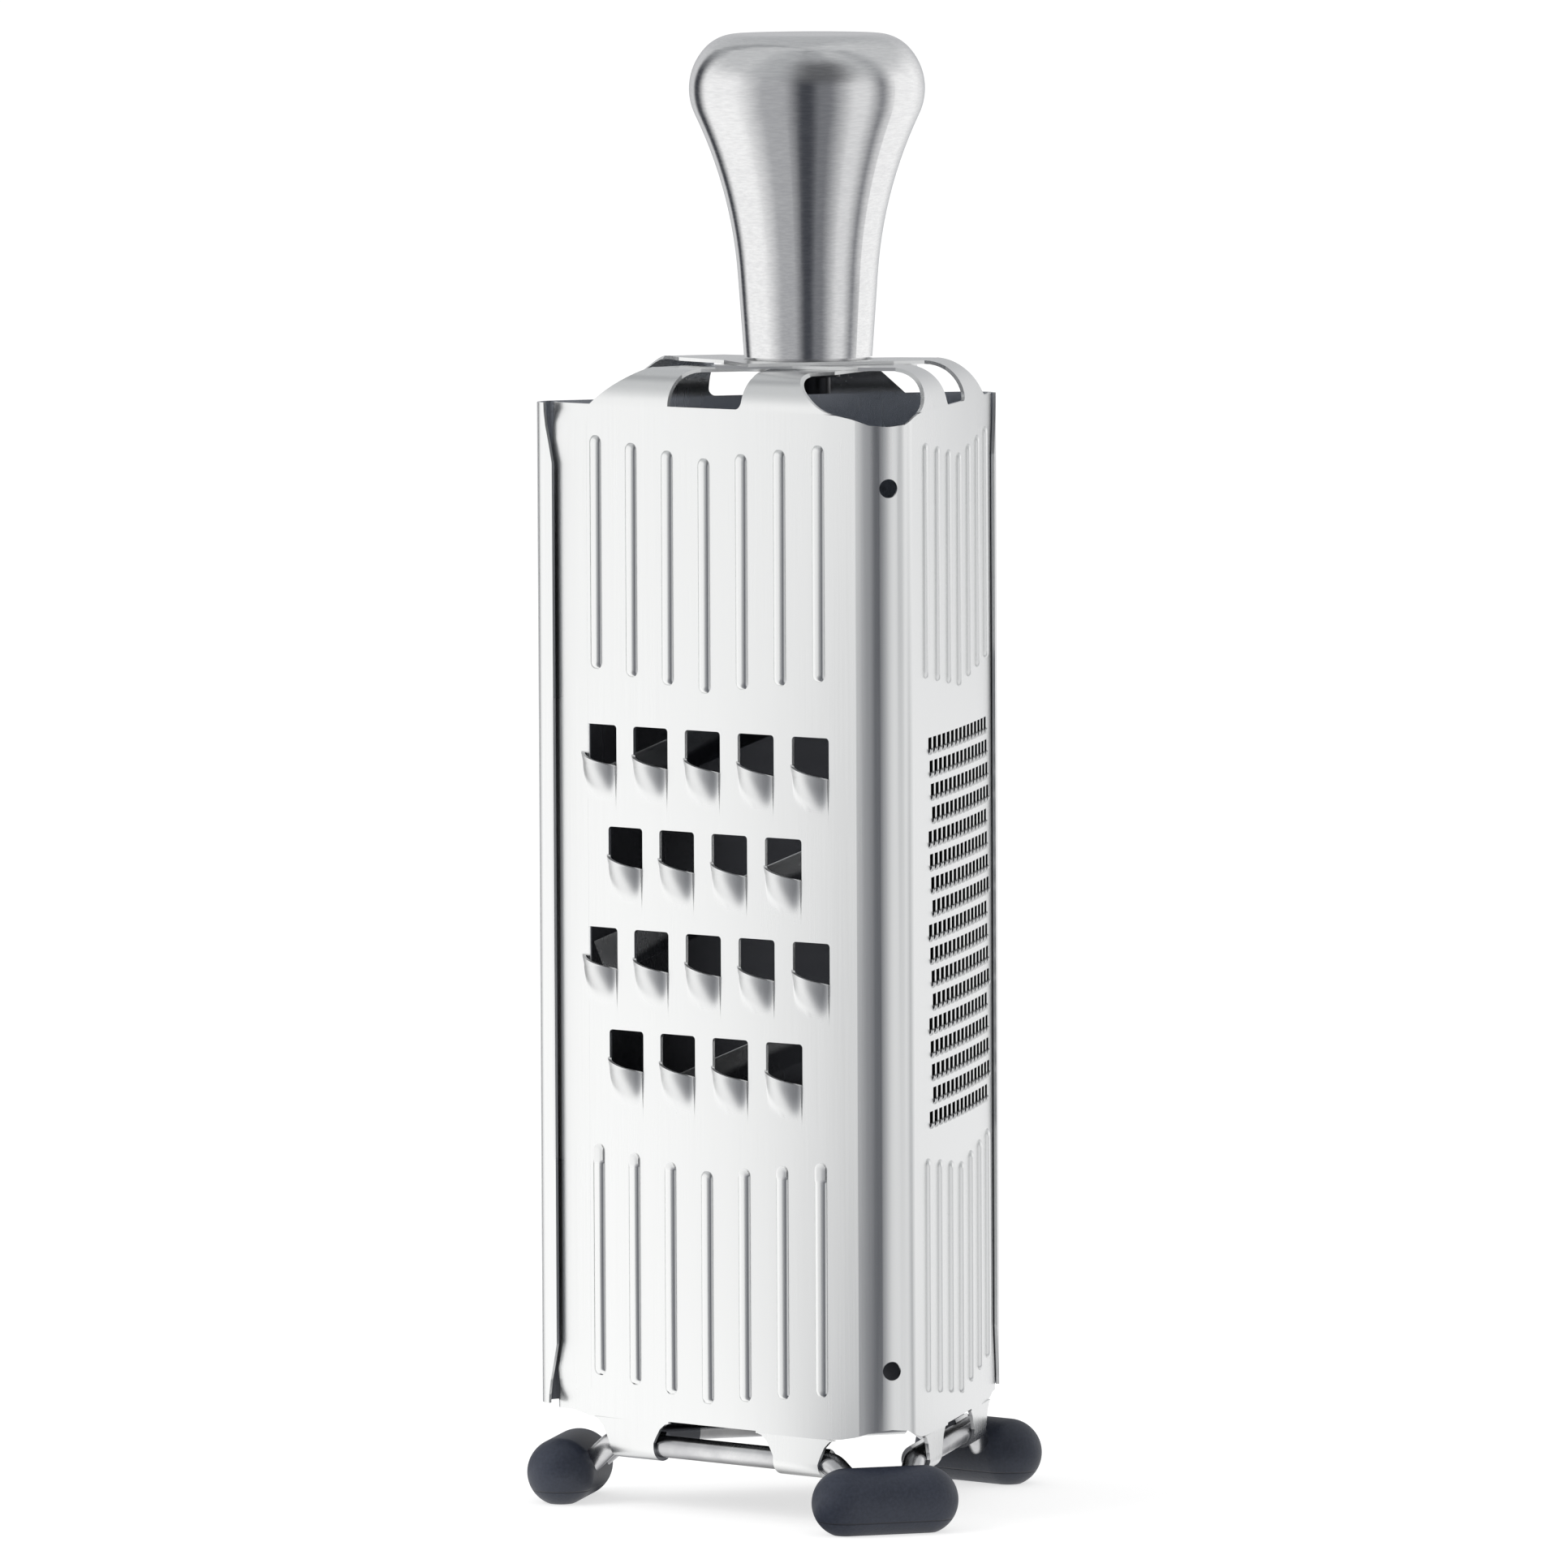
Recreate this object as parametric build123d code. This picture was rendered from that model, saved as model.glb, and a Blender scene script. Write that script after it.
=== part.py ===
from build123d import *
import math
import os

# A three-sided tower grater: a two-faced front sheet and a one-faced rear sheet make the tube,
# their top tongues are clamped under a turned knob, and a bent wire with three rubber feet
# carries them. Millimetres, Z up. Face one looks along -Y, face two along +30 degrees and face
# three along +150 degrees. The tower's axis stands a little in front of the origin, because the
# origin is the middle of the whole object's box.

# Whole object
HEIGHT = 300.0
FACES = 3
FULL_TURN = 360.0
FACE_TURN = FULL_TURN / FACES
RIGHT_ANGLE = 90.0
HALF_TURN = 180.0

# Sheet and plan of the tube
SHEET = 0.7
FACE_OUT = 30.7
FACE_RADIUS = 666.0
CORNER_RADIUS = 7.2
EDGE_CURL_RADIUS = 3.0
EDGE_CURL_TURN = 60.0
EDGE_START = 42.4
LIP_RADIUS = 5.0
LIP_CLEARANCE = 1.05
LIP_RUN = 2.3
LIP_TRIM = 2.7
LIP_TRIM_TALL = 15.0
LIP_TRIM_SHARES = [(0.0, 1.0), (0.12, 0.82), (0.45, 0.56), (0.8, 0.32), (0.97, 0.12), (1.0, 0.0)]
TUBE_BASE = 18.2
REAR_SHIFT = 1.0

# Top tongues and their windows
LAYER_GAP = 0.03
TONGUE_BEND = 7.6
TONGUE_ROOT_HALF = 33.0
TONGUE_CORNER_SHARES = [(1.0, 0.0), (0.9, 0.14), (0.79, 0.43), (0.7, 0.72), (0.642, 0.99)]
TONGUE_EDGE_SHARES = [(1.0, 0.0), (0.95, 0.16), (0.82, 0.54), (0.72, 0.8), (0.65, 0.99)]
TONGUE_SHIFTS = (0.0, 0.0, 2.6)
TONGUE_SIDE_TOP = 0.62
TONGUE_NECK_HALF = 20.4
TONGUE_END_HALF = 15.5
TONGUE_END_PAST = 15.9
WINDOW_HALF = 9.2
WINDOW_TIP = 14.6
WINDOW_TIP_HALF = 3.4
WINDOW_SHOULDER = 8.4
WINDOW_SILL = 0.2
WINDOW_CORNER = 1.6
WINDOW_FLARES = (1.8, 0.0, 0.0)

# Corner cut-outs of the front sheet
CORNER_DIP_SHARES = [(1.0, 0.0), (0.82, 0.1), (0.62, 0.36), (0.36, 0.86), (0.0, 1.0)]
CORNER_DIP_HALF = 10.5
CORNER_DIP = 2.3
CORNER_ARCH = 2.7
CORNER_HOLE = 3.8
CORNER_HOLE_IN = 14.6

# Wire ring, and the bottom tabs rolled round it
WIRE = 4.5
WIRE_FIT = 0.05
WIRE_OUT = 27.3
WIRE_LEVEL = 13.0
WIRE_DIP = 6.1
WIRE_BEND = 4.2
WIRE_EASE = 1.7
TAB_IN = 16.4
TAB_OUT = 28.5
TAB_FLARE = 4.6
TAB_FLARE_SHARES = [(0.0, 0.0), (0.16, 0.3), (0.4, 0.68), (0.72, 0.93), (1.0, 1.0)]
TAB_WINDOW_HALF = 12.0
TAB_WINDOW_TOP = 18.65
TAB_WINDOW_RISE = 4.3
TAB_CURL = 250.0
MARGIN_BASE = 19.1
MARGIN_START = 34.5
LIP_BASE = 20.2

# Pressed ribs
RIBS = 7
RIB_PITCH = 10.15
RIB_SHIFTS = (-0.9, 1.8, 0.0)
RIB_WIDTH = 2.2
RIB_HEIGHT = 0.5
RIB_CREST = 1.2
RIB_END = 0.8
RIB_STEP = 1.21
RIB_MARGIN_TOP = 6.8
RIB_MARGIN_BASE = 9.0
RIB_GAP_TOP = 11.7
RIB_GAP_BASE = 15.7
RIB_GAP_REAR = 22.5

# Coarse teeth of face one
COARSE_ROWS = (5, 4, 5, 4)
COARSE_PITCH = 14.45
COARSE_ROW_PITCH = 20.7
COARSE_LIFT = 38.3
COARSE_SHIFT = -1.6
COARSE_WIDTH = 9.65
COARSE_TALL = 8.4
COARSE_SHORT = 5.8
COARSE_CORNER = 0.8
COARSE_RISE = 2.3
COARSE_FADE = 8.2

# Fine slots of face two
FINE_ROWS = 17
FINE_COUNT = 15
FINE_PITCH = 4.06
FINE_ROW_PITCH = 4.73
FINE_LIFT = 37.5
FINE_SHIFT = 2.8
FINE_WIDTH = 2.75
FINE_TALL = 2.4
FINE_STEPS = 4
FINE_STEP = 1.0

# Slicing openings of face three
SLICES = 3
SLICE_PITCH = 34.9
SLICE_LIFT = 5.0
SLICE_SHIFT = 2.0
SLICE_TILT = 20.8
SLICE_LENGTH = 73.0
SLICE_TALL = 4.0
SLICE_RAMP = 7.5
SLICE_RISE = 1.6

# Feet
FOOT_PAST = 0.5
FOOT_LENGTH = 30.4
FOOT_HEIGHT = 13.4
FOOT_SOLE = 5.2
FOOT_SLIPS = (-1.3, 0.0, 0.0)

# Knob and its fixing
KNOB_HEIGHT = 65.49
KNOB_GAP = 0.45
KNOB_NECK = 13.9
KNOB_CROWN = 14.1
KNOB_SIDE_SHARES = [(0.938, 0.0), (1.023, 0.256), (1.637, 0.75), (1.492, 0.956)]
KNOB_WALL = 1.2
CORE_LENGTH = 34.0
CORE_WALL_FIT = 0.1
SCREW = 6.0
SCREW_FIT = 0.3
SCREW_REACH = 26.0
SCREW_HEAD = 9.0
SCREW_HEAD_HEIGHT = 3.4
SCREW_SOCKET = 4.0
SCREW_SOCKET_DEPTH = 2.0
SOCKET_SIDES = 6
WASHER = 13.0
WASHER_THICK = 1.5

# Derived sizes
HALF_FACE_TURN = FACE_TURN / 2
KNOB_BASE = HEIGHT - KNOB_HEIGHT
TONGUE_LEVEL = KNOB_BASE - KNOB_GAP - (FACES - 1) * (SHEET + LAYER_GAP)
TONGUE_LEVELS = [TONGUE_LEVEL + turn * (SHEET + LAYER_GAP) for turn in range(FACES)]
TUBE_TOP = TONGUE_LEVEL - TONGUE_BEND
TUBE_MIDDLE = (TUBE_BASE + TUBE_TOP) / 2
COARSE_TOP = TUBE_MIDDLE + COARSE_LIFT
COARSE_BASE = COARSE_TOP - (len(COARSE_ROWS) - 1) * COARSE_ROW_PITCH - COARSE_TALL
FINE_TOP = TUBE_MIDDLE + FINE_LIFT
SLICE_LEVELS = [TUBE_MIDDLE + SLICE_LIFT + (place - (SLICES - 1) / 2) * SLICE_PITCH
                for place in range(SLICES)]
RIB_UPPER_TOP = TUBE_TOP - RIB_MARGIN_TOP
RIB_UPPER_BASE = COARSE_TOP + RIB_GAP_TOP
RIB_LOWER_TOP = COARSE_BASE - RIB_GAP_BASE
RIB_LOWER_BASE = TUBE_BASE + RIB_MARGIN_BASE
RIB_REAR_BASE = SLICE_LEVELS[-1] + RIB_GAP_REAR
ARC_BACK = FACE_RADIUS - FACE_OUT
WIRE_RADIUS = WIRE / 2
CURL_OUT = WIRE_RADIUS + WIRE_FIT + SHEET
WIRE_TURN_OUT = (WIRE_OUT - WIRE_BEND) / math.cos(math.radians(HALF_FACE_TURN)) + WIRE_BEND
FOOT_OUT = WIRE_TURN_OUT + FOOT_PAST
FOOT_RADIUS = (FOOT_HEIGHT * FOOT_HEIGHT + FOOT_SOLE * FOOT_SOLE / 4) / (2 * FOOT_HEIGHT)
FOOT_SIDE = FOOT_LENGTH / 2 - FOOT_RADIUS
TOOL_REACH = 20.0


def polar(centre, radius, angle):
    """A plan point at an angle in degrees round a centre."""
    bend = math.radians(angle)
    return (centre[0] + radius * math.cos(bend), centre[1] + radius * math.sin(bend))


def turned(point, angle):
    """A plan point turned round the tower's axis."""
    bend = math.radians(angle)
    return (point[0] * math.cos(bend) - point[1] * math.sin(bend),
            point[0] * math.sin(bend) + point[1] * math.cos(bend))


def to_face(shape, face):
    """Turn a shape made for face one on to another face."""
    return Rot(0, 0, FACE_TURN * face) * shape


def along_face(shape, run):
    """Move a shape sideways along face one's curve."""
    back = Pos(0, ARC_BACK, 0)
    return back * (Rot(0, 0, math.degrees(run / FACE_RADIUS)) * (back.inverse() * shape))


def arc_edge(centre, radius, start, end):
    """An arc between two angles round a plan centre."""
    middle = (start + end) / 2
    return ThreePointArc(polar(centre, radius, start), polar(centre, radius, middle),
                         polar(centre, radius, end))


def ribbon(arcs):
    """The plan face of a sheet whose outer side follows a chain of arcs."""
    outer = [arc_edge(centre, radius, start, end) for centre, radius, start, end in arcs]
    inner = [arc_edge(centre, radius - SHEET, start, end) for centre, radius, start, end in arcs]
    first, last = arcs[0], arcs[-1]
    ends = [Line(polar(first[0], first[1], first[2]), polar(first[0], first[1] - SHEET, first[2])),
            Line(polar(last[0], last[1], last[3]), polar(last[0], last[1] - SHEET, last[3]))]
    return make_face(Wire.combine(outer + inner + ends)[0])


def tangent_corner():
    """Centre of the front corner and the half angle it turns through."""
    reach = FACE_RADIUS - CORNER_RADIUS
    along = ARC_BACK * math.cos(math.radians(HALF_FACE_TURN))
    out = -along + math.sqrt(along * along + reach * reach - ARC_BACK * ARC_BACK)
    centre = polar((0, 0), out, HALF_FACE_TURN - RIGHT_ANGLE)
    turn = math.degrees(math.atan2(centre[0], ARC_BACK - centre[1]))
    return centre, turn


def lip_corner():
    """Centre of the rear sheet's lip at the corner between face three and face one."""
    one = (0, ARC_BACK)
    three = turned(one, -FACE_TURN)
    reach_one = FACE_RADIUS + LIP_CLEARANCE + SHEET - LIP_RADIUS
    reach_three = FACE_RADIUS - LIP_RADIUS
    gap = math.dist(one, three)
    along = (reach_one ** 2 - reach_three ** 2 + gap ** 2) / (2 * gap)
    across = math.sqrt(reach_one ** 2 - along ** 2)
    step = ((three[0] - one[0]) / gap, (three[1] - one[1]) / gap)
    foot = (one[0] + step[0] * along, one[1] + step[1] * along)
    sides = [(foot[0] + step[1] * across * way, foot[1] - step[0] * across * way) for way in (1, -1)]
    centre = min(sides, key=lambda side: math.hypot(*side))
    return centre, one, three


def angle_of(start, end):
    """Direction in degrees from one plan point to another."""
    return math.degrees(math.atan2(end[1] - start[1], end[0] - start[0]))


def front_plan():
    """Plan of the front sheet: edge curl, face one, corner, face two, edge curl."""
    one = (0, ARC_BACK)
    two = turned(one, FACE_TURN)
    corner, turn = tangent_corner()
    start = -RIGHT_ANGLE - math.degrees(EDGE_START / FACE_RADIUS)
    end = FACE_TURN - RIGHT_ANGLE + math.degrees(EDGE_START / FACE_RADIUS)
    curl_one = polar(one, FACE_RADIUS - EDGE_CURL_RADIUS, start)
    curl_two = polar(two, FACE_RADIUS - EDGE_CURL_RADIUS, end)
    return ribbon([
        (curl_one, EDGE_CURL_RADIUS, start - EDGE_CURL_TURN, start),
        (one, FACE_RADIUS, start, turn - RIGHT_ANGLE),
        (corner, CORNER_RADIUS, turn - RIGHT_ANGLE, FACE_TURN - RIGHT_ANGLE - turn),
        (two, FACE_RADIUS, FACE_TURN - RIGHT_ANGLE - turn, end),
        (curl_two, EDGE_CURL_RADIUS, end, end + EDGE_CURL_TURN),
    ])


def rear_plan():
    """Plan of the rear sheet with its two lips, drawn on face one's side of the axis."""
    centre, one, three = lip_corner()
    near = turned(centre, FACE_TURN)
    neighbour = turned(one, FACE_TURN)
    home = turned(three, FACE_TURN)
    tangent = angle_of(home, near)
    lip_angle = angle_of(neighbour, near)
    run = math.degrees(LIP_RUN / FACE_RADIUS)
    offset = FACE_RADIUS + LIP_CLEARANCE + SHEET
    right = [
        (home, FACE_RADIUS, -RIGHT_ANGLE, tangent),
        (near, LIP_RADIUS, tangent, lip_angle),
        (neighbour, offset, lip_angle, lip_angle + run),
    ]
    left = [((-c[0], c[1]), radius, -HALF_TURN - end, -HALF_TURN - start)
            for c, radius, start, end in reversed(right)]
    return ribbon(left + right)


def side_prism(points, reach):
    """A solid cut through face one from an outline in run and height."""
    outline = make_face(Polyline(*[(run, 0, level) for run, level in points], close=True))
    return extrude(outline, amount=reach, dir=(0, -1, 0))


def mirrored(points):
    """An outline of one half with the other half added."""
    return points + [(-run, level) for run, level in reversed(points) if run]


def face_turn(profile, run_from, run_to):
    """Turn a section in distance from the axis and height along face one's curve."""
    section = make_face(profile)
    start = math.degrees(run_from / FACE_RADIUS)
    sweep_angle = math.degrees((run_to - run_from) / FACE_RADIUS)
    axis = Axis((0, ARC_BACK, 0), (0, 0, 1))
    return revolve(section.rotate(axis, start), axis, revolution_arc=sweep_angle)


def tongue_section(level):
    """Section of the bend and the flat tongue over it."""
    bend = level - TUBE_TOP
    slant = math.radians(RIGHT_ANGLE / 2)
    inside = bend - SHEET
    turn_y = bend - FACE_OUT

    def at(radius, share):
        return (0, turn_y - radius * math.cos(share), TUBE_TOP + radius * math.sin(share))

    end = TONGUE_END_PAST
    return Wire.combine([
        ThreePointArc(at(bend, 0), at(bend, slant), at(bend, 2 * slant)),
        Line(at(bend, 2 * slant), (0, end, level)),
        Line((0, end, level), (0, end, level - SHEET)),
        Line((0, end, level - SHEET), at(inside, 2 * slant)),
        ThreePointArc(at(inside, 2 * slant), at(inside, slant), at(inside, 0)),
        Line(at(inside, 0), at(bend, 0)),
    ])[0]


def tongue_front(bend, left_shares):
    """What the tongue keeps as seen from the front: sides that sweep inwards as they rise."""
    side = [(TONGUE_ROOT_HALF * run, 0, TUBE_TOP + bend * up) for run, up in TONGUE_CORNER_SHARES]
    other = [(-TONGUE_ROOT_HALF * run, 0, TUBE_TOP + bend * up) for run, up in left_shares]
    top = TUBE_TOP + 2 * bend
    reach = TONGUE_ROOT_HALF * TONGUE_SIDE_TOP
    outline = make_face(Wire.combine([
        Spline(*side), Spline(*other), Line(side[0], other[0]), Line(side[-1], (reach, 0, top)),
        Line(other[-1], (-reach, 0, top)), Line((reach, 0, top), (-reach, 0, top))])[0])
    body = extrude(outline, amount=FACE_OUT + TOOL_REACH, dir=(0, -1, 0))
    return Pos(0, TOOL_REACH, 0) * body


def tongue(face):
    """A face's top tongue, on face one's side: bent over, narrowed, its window cut through."""
    level = TONGUE_LEVELS[face]
    whole = face_turn(tongue_section(level), -TONGUE_ROOT_HALF, TONGUE_ROOT_HALF)
    bend = level - TUBE_TOP
    plan = [(TONGUE_ROOT_HALF, -FACE_OUT), (TONGUE_ROOT_HALF, bend * 3 / 4 - FACE_OUT),
            (TONGUE_NECK_HALF, bend - FACE_OUT), (TONGUE_NECK_HALF, -WINDOW_TIP),
            (TONGUE_END_HALF, 0), (TONGUE_END_HALF, TONGUE_END_PAST)]
    outline = make_face(Polyline(*mirrored(plan), close=True))
    top_view = Pos(0, 0, TUBE_TOP) * extrude(outline, amount=TOOL_REACH)
    left_shares = TONGUE_CORNER_SHARES if face == 1 else TONGUE_EDGE_SHARES
    body = (whole & tongue_front(bend, left_shares) & top_view) - window(level, WINDOW_FLARES[face])
    return along_face(body, TONGUE_SHIFTS[face])


def window(level, flare):
    """The opening between the two straps of a tongue, its left side flared towards the sill."""
    bend = level - TUBE_TOP
    start = -FACE_OUT - SHEET
    tip = ThreePointArc((WINDOW_TIP_HALF, -WINDOW_TIP - SHEET), (0, -WINDOW_TIP),
                        (-WINDOW_TIP_HALF, -WINDOW_TIP - SHEET))
    near = [(WINDOW_HALF, start), (WINDOW_HALF, -FACE_OUT + bend / 2),
            (WINDOW_SHOULDER, bend - FACE_OUT), (WINDOW_TIP_HALF, -WINDOW_TIP - SHEET)]
    far = [(-run, depth) for run, depth in near]
    far[0] = (far[0][0] - flare, start)
    far[1] = (far[1][0] - flare / 2, far[1][1])
    outline = make_face(Wire.combine([Polyline(*near), Polyline(*far), tip, Line(near[0], far[0])])[0])
    body = Pos(0, 0, TUBE_TOP + WINDOW_SILL) * extrude(outline, amount=TOOL_REACH)
    sill = [edge for edge in body.edges().filter_by(Axis.Y)
            if edge.center().Z < TUBE_TOP + 2 * WINDOW_SILL]
    return fillet(sill, WINDOW_CORNER)


def tab_section(run):
    """Section of a bottom tab rolled round the wire, at a run along the face."""
    centre = (-WIRE_OUT, WIRE_LEVEL)

    def at(radius, angle):
        bend = math.radians(angle)
        return (run, centre[0] - radius * math.cos(bend), centre[1] - radius * math.sin(bend))

    inside = CURL_OUT - SHEET
    top = [(run, at(radius, 0)[1], TUBE_BASE) for radius in (CURL_OUT, inside)]
    return make_face(Wire.combine([
        Line(at(CURL_OUT, 0), top[0]),
        Line(top[0], top[1]),
        Line(top[1], at(inside, 0)),
        ThreePointArc(at(inside, 0), at(inside, TAB_CURL / 2), at(inside, TAB_CURL)),
        Line(at(inside, TAB_CURL), at(CURL_OUT, TAB_CURL)),
        ThreePointArc(at(CURL_OUT, TAB_CURL), at(CURL_OUT, TAB_CURL / 2), at(CURL_OUT, 0)),
    ])[0])


def tabs():
    """The two rolled tabs under face one, flared where they leave the sheet."""
    drop = TUBE_BASE - WIRE_LEVEL
    flare = [(TAB_OUT + TAB_FLARE * run, WIRE_LEVEL + drop * up) for run, up in TAB_FLARE_SHARES]
    outline = [(TAB_OUT, WIRE_LEVEL)] + flare[1:] + [(TAB_OUT, TUBE_BASE)]
    width = TAB_IN - TAB_WINDOW_HALF
    inner = [(TAB_IN - width * run, TUBE_BASE - TAB_WINDOW_RISE * (1 - up))
             for run, up in TAB_FLARE_SHARES] + [(TAB_IN, TUBE_BASE)]
    bodies = []
    for way in (1, -1):
        strip = extrude(tab_section(way * TAB_IN), amount=TAB_OUT - TAB_IN, dir=(way, 0, 0))
        for points in (outline, inner):
            side = side_prism([(way * run, level) for run, level in points], WIRE_OUT + CURL_OUT)
            strip += side - Pos(0, SHEET, 0) * side
        bodies.append(strip)
    return bodies


def tab_window():
    """The top of the low opening between the tabs, where it rises into the tube."""
    box = Box(2 * TAB_WINDOW_HALF, TOOL_REACH, TAB_WINDOW_TOP,
              align=(Align.CENTER, Align.CENTER, Align.MIN))
    return Pos(0, -FACE_OUT, 0) * box


def margin_cut(base):
    """Trims the sheet's foot beyond the tabs at the far side of face one."""
    points = [(MARGIN_START, TUBE_BASE - SHEET), (MARGIN_START, TUBE_BASE),
              (MARGIN_START + TAB_FLARE, base), (2 * EDGE_START, base),
              (2 * EDGE_START, TUBE_BASE - SHEET)]
    return side_prism([(-run, level) for run, level in points], FACE_OUT + TOOL_REACH)


def corner_view(points):
    """A solid cut through the front corner from an outline in width and height."""
    prism = side_prism(points, 2 * FACE_OUT + TOOL_REACH)
    return Rot(0, 0, HALF_FACE_TURN) * prism


def corner_cuts():
    """The wavy dip at the corner's top, the arch at its foot and its two holes."""
    dip = [(CORNER_DIP_HALF * run, TUBE_TOP - CORNER_DIP * down) for run, down in CORNER_DIP_SHARES]
    dip = [(CORNER_DIP_HALF, TUBE_TOP + SHEET)] + dip
    arch = [(CORNER_DIP_HALF * run, TUBE_BASE + CORNER_ARCH * up) for run, up in CORNER_DIP_SHARES]
    arch = [(CORNER_DIP_HALF, TUBE_BASE - SHEET)] + arch
    cuts = [corner_view(mirrored(dip)), corner_view(mirrored(arch))]
    for level in (TUBE_TOP - CORNER_HOLE_IN, TUBE_BASE + CORNER_HOLE_IN):
        bore = Cylinder(CORNER_HOLE / 2, TOOL_REACH, rotation=(RIGHT_ANGLE, 0, 0))
        cuts.append(Rot(0, 0, HALF_FACE_TURN) * (Pos(0, -FACE_OUT - TOOL_REACH, level) * bore))
    return cuts


def rib(top, base):
    """One bead on face one's middle: a flat crest with sloped sides and ends, sunk in the sheet."""
    sunk = SHEET / 2
    deep = sunk / RIB_HEIGHT
    crest_out, root_out = -FACE_OUT - RIB_HEIGHT, sunk - FACE_OUT
    side = (RIB_WIDTH - RIB_CREST) / 2
    section = Polyline(*mirrored([(RIB_CREST / 2, crest_out), (RIB_WIDTH / 2 + side * deep, root_out)]),
                       close=True)
    bar = extrude(make_face(section), amount=top + RIB_WIDTH, dir=(0, 0, 1))
    low, high = base - RIB_END * deep, top + RIB_END * deep
    ends = Polyline((0, root_out, low), (0, crest_out, base + RIB_END), (0, crest_out, top - RIB_END),
                    (0, root_out, high), close=True)
    return bar & extrude(make_face(ends), amount=RIB_WIDTH, dir=(1, 0, 0), both=True)


def ribs(upper_base, shift):
    """The upper and lower groups of seven ribs, stepped down towards the middle."""
    beads = []
    for place in range(RIBS):
        step = place - (RIBS - 1) / 2
        drop = RIB_STEP * ((RIBS - 1) / 2 - abs(step))
        for top, base in ((RIB_UPPER_TOP, upper_base), (RIB_LOWER_TOP, RIB_LOWER_BASE)):
            beads.append(along_face(rib(top - drop, base - drop), step * RIB_PITCH + shift))
    return beads


def coarse_places():
    """Run and top level of every coarse tooth."""
    places = []
    for row, count in enumerate(COARSE_ROWS):
        level = COARSE_TOP - row * COARSE_ROW_PITCH
        for place in range(count):
            run = COARSE_SHIFT + (place - (count - 1) / 2) * COARSE_PITCH
            places.append((run, level))
    return places


def coarse_hole():
    """The slant-bottomed opening of a coarse tooth, its top at height zero."""
    half = COARSE_WIDTH / 2
    outline = Polyline((-half, 0, 0), (half, 0, 0), (half, 0, -COARSE_TALL),
                       (-half, 0, -COARSE_SHORT), close=True)
    body = extrude(make_face(outline), amount=TOOL_REACH, dir=(0, -1, 0))
    body = Pos(0, TOOL_REACH / 2 - FACE_OUT, 0) * body
    top = [edge for edge in body.edges().filter_by(Axis.Y) if edge.center().Z > -COARSE_CORNER]
    return fillet(top, COARSE_CORNER)


def coarse_below():
    """The space under the slanted rim of a coarse tooth."""
    half = COARSE_WIDTH / 2
    slope = (COARSE_TALL - COARSE_SHORT) / COARSE_WIDTH
    wide = COARSE_WIDTH
    middle = (COARSE_TALL + COARSE_SHORT) / 2
    outline = Polyline((-wide, 0, slope * wide - middle), (wide, 0, -slope * wide - middle),
                       (half, 0, -TOOL_REACH), (-half, 0, -TOOL_REACH), close=True)
    return extrude(make_face(outline), amount=FACE_OUT + TOOL_REACH, dir=(0, -1, 0))


def coarse_tube(radius):
    """The tilted round bar that shapes a coarse tooth's scoop."""
    half = COARSE_WIDTH / 2
    outer = (half * half + COARSE_RISE * COARSE_RISE) / (2 * COARSE_RISE)
    tilt = math.degrees(math.atan2(COARSE_RISE, COARSE_FADE))
    rim = -(COARSE_TALL + COARSE_SHORT) / 2
    bar = Cylinder(radius + outer, 2 * TOOL_REACH, rotation=(tilt, 0, 0))
    return Pos(0, outer - COARSE_RISE - FACE_OUT, rim) * bar


def coarse_tooth():
    """Opening to cut away and scoop to add, for a tooth in face one's middle."""
    below = coarse_below()
    zone = Pos(0, -FACE_OUT, -TOOL_REACH / 2) * Box(2 * COARSE_WIDTH, 2 * COARSE_RISE + SHEET,
                                                   2 * TOOL_REACH)
    inside = coarse_tube(-SHEET) & below & zone
    outside = Box(2 * COARSE_WIDTH, TOOL_REACH, 2 * TOOL_REACH,
                  align=(Align.CENTER, Align.MAX, Align.CENTER))
    scoop = (coarse_tube(0) - coarse_tube(-SHEET)) & below & (Pos(0, SHEET - FACE_OUT, 0) * outside)
    return coarse_hole(), inside, scoop


def place_tooth(shape, run, level):
    """Move a tooth's shape to its place on face one."""
    return along_face(Pos(0, 0, level) * shape, run)


def fine_slots():
    """Every narrow slot of the fine grating, for face one's side."""
    slot = Box(FINE_WIDTH, TOOL_REACH, FINE_TALL, align=(Align.CENTER, Align.CENTER, Align.MAX))
    slot = Pos(0, -FACE_OUT, 0) * slot
    slots = []
    for row in range(FINE_ROWS):
        shift = FINE_SHIFT + (row % FINE_STEPS) * FINE_STEP
        for place in range(FINE_COUNT):
            run = (place - (FINE_COUNT - 1) / 2) * FINE_PITCH + shift
            slots.append(place_tooth(slot, run, FINE_TOP - row * FINE_ROW_PITCH))
    return slots


def slice_parts():
    """Openings to cut and raised blade strips to add for the slicing side."""
    cut = Box(SLICE_LENGTH, TOOL_REACH, SLICE_TALL + SLICE_RAMP,
              align=(Align.CENTER, Align.CENTER, Align.MAX))
    cut = Pos(0, -FACE_OUT, SLICE_TALL) * cut
    cut = fillet(cut.edges().filter_by(Axis.Y), SLICE_TALL / 4)
    out = -FACE_OUT
    strip = Polyline((0, out - SLICE_RISE, 0), (0, out + SHEET - SLICE_RISE, 0),
                     (0, out + SHEET, -SLICE_RAMP - SHEET), (0, out, -SLICE_RAMP - SHEET), close=True)
    blade = extrude(make_face(strip), amount=SLICE_LENGTH / 2, dir=(1, 0, 0), both=True)
    cuts, blades = [], []
    for level in SLICE_LEVELS:
        place = Pos(SLICE_SHIFT, 0, level) * Rot(0, SLICE_TILT, 0)
        cuts.append(place * cut)
        blades.append(place * blade)
    return cuts, blades


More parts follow.
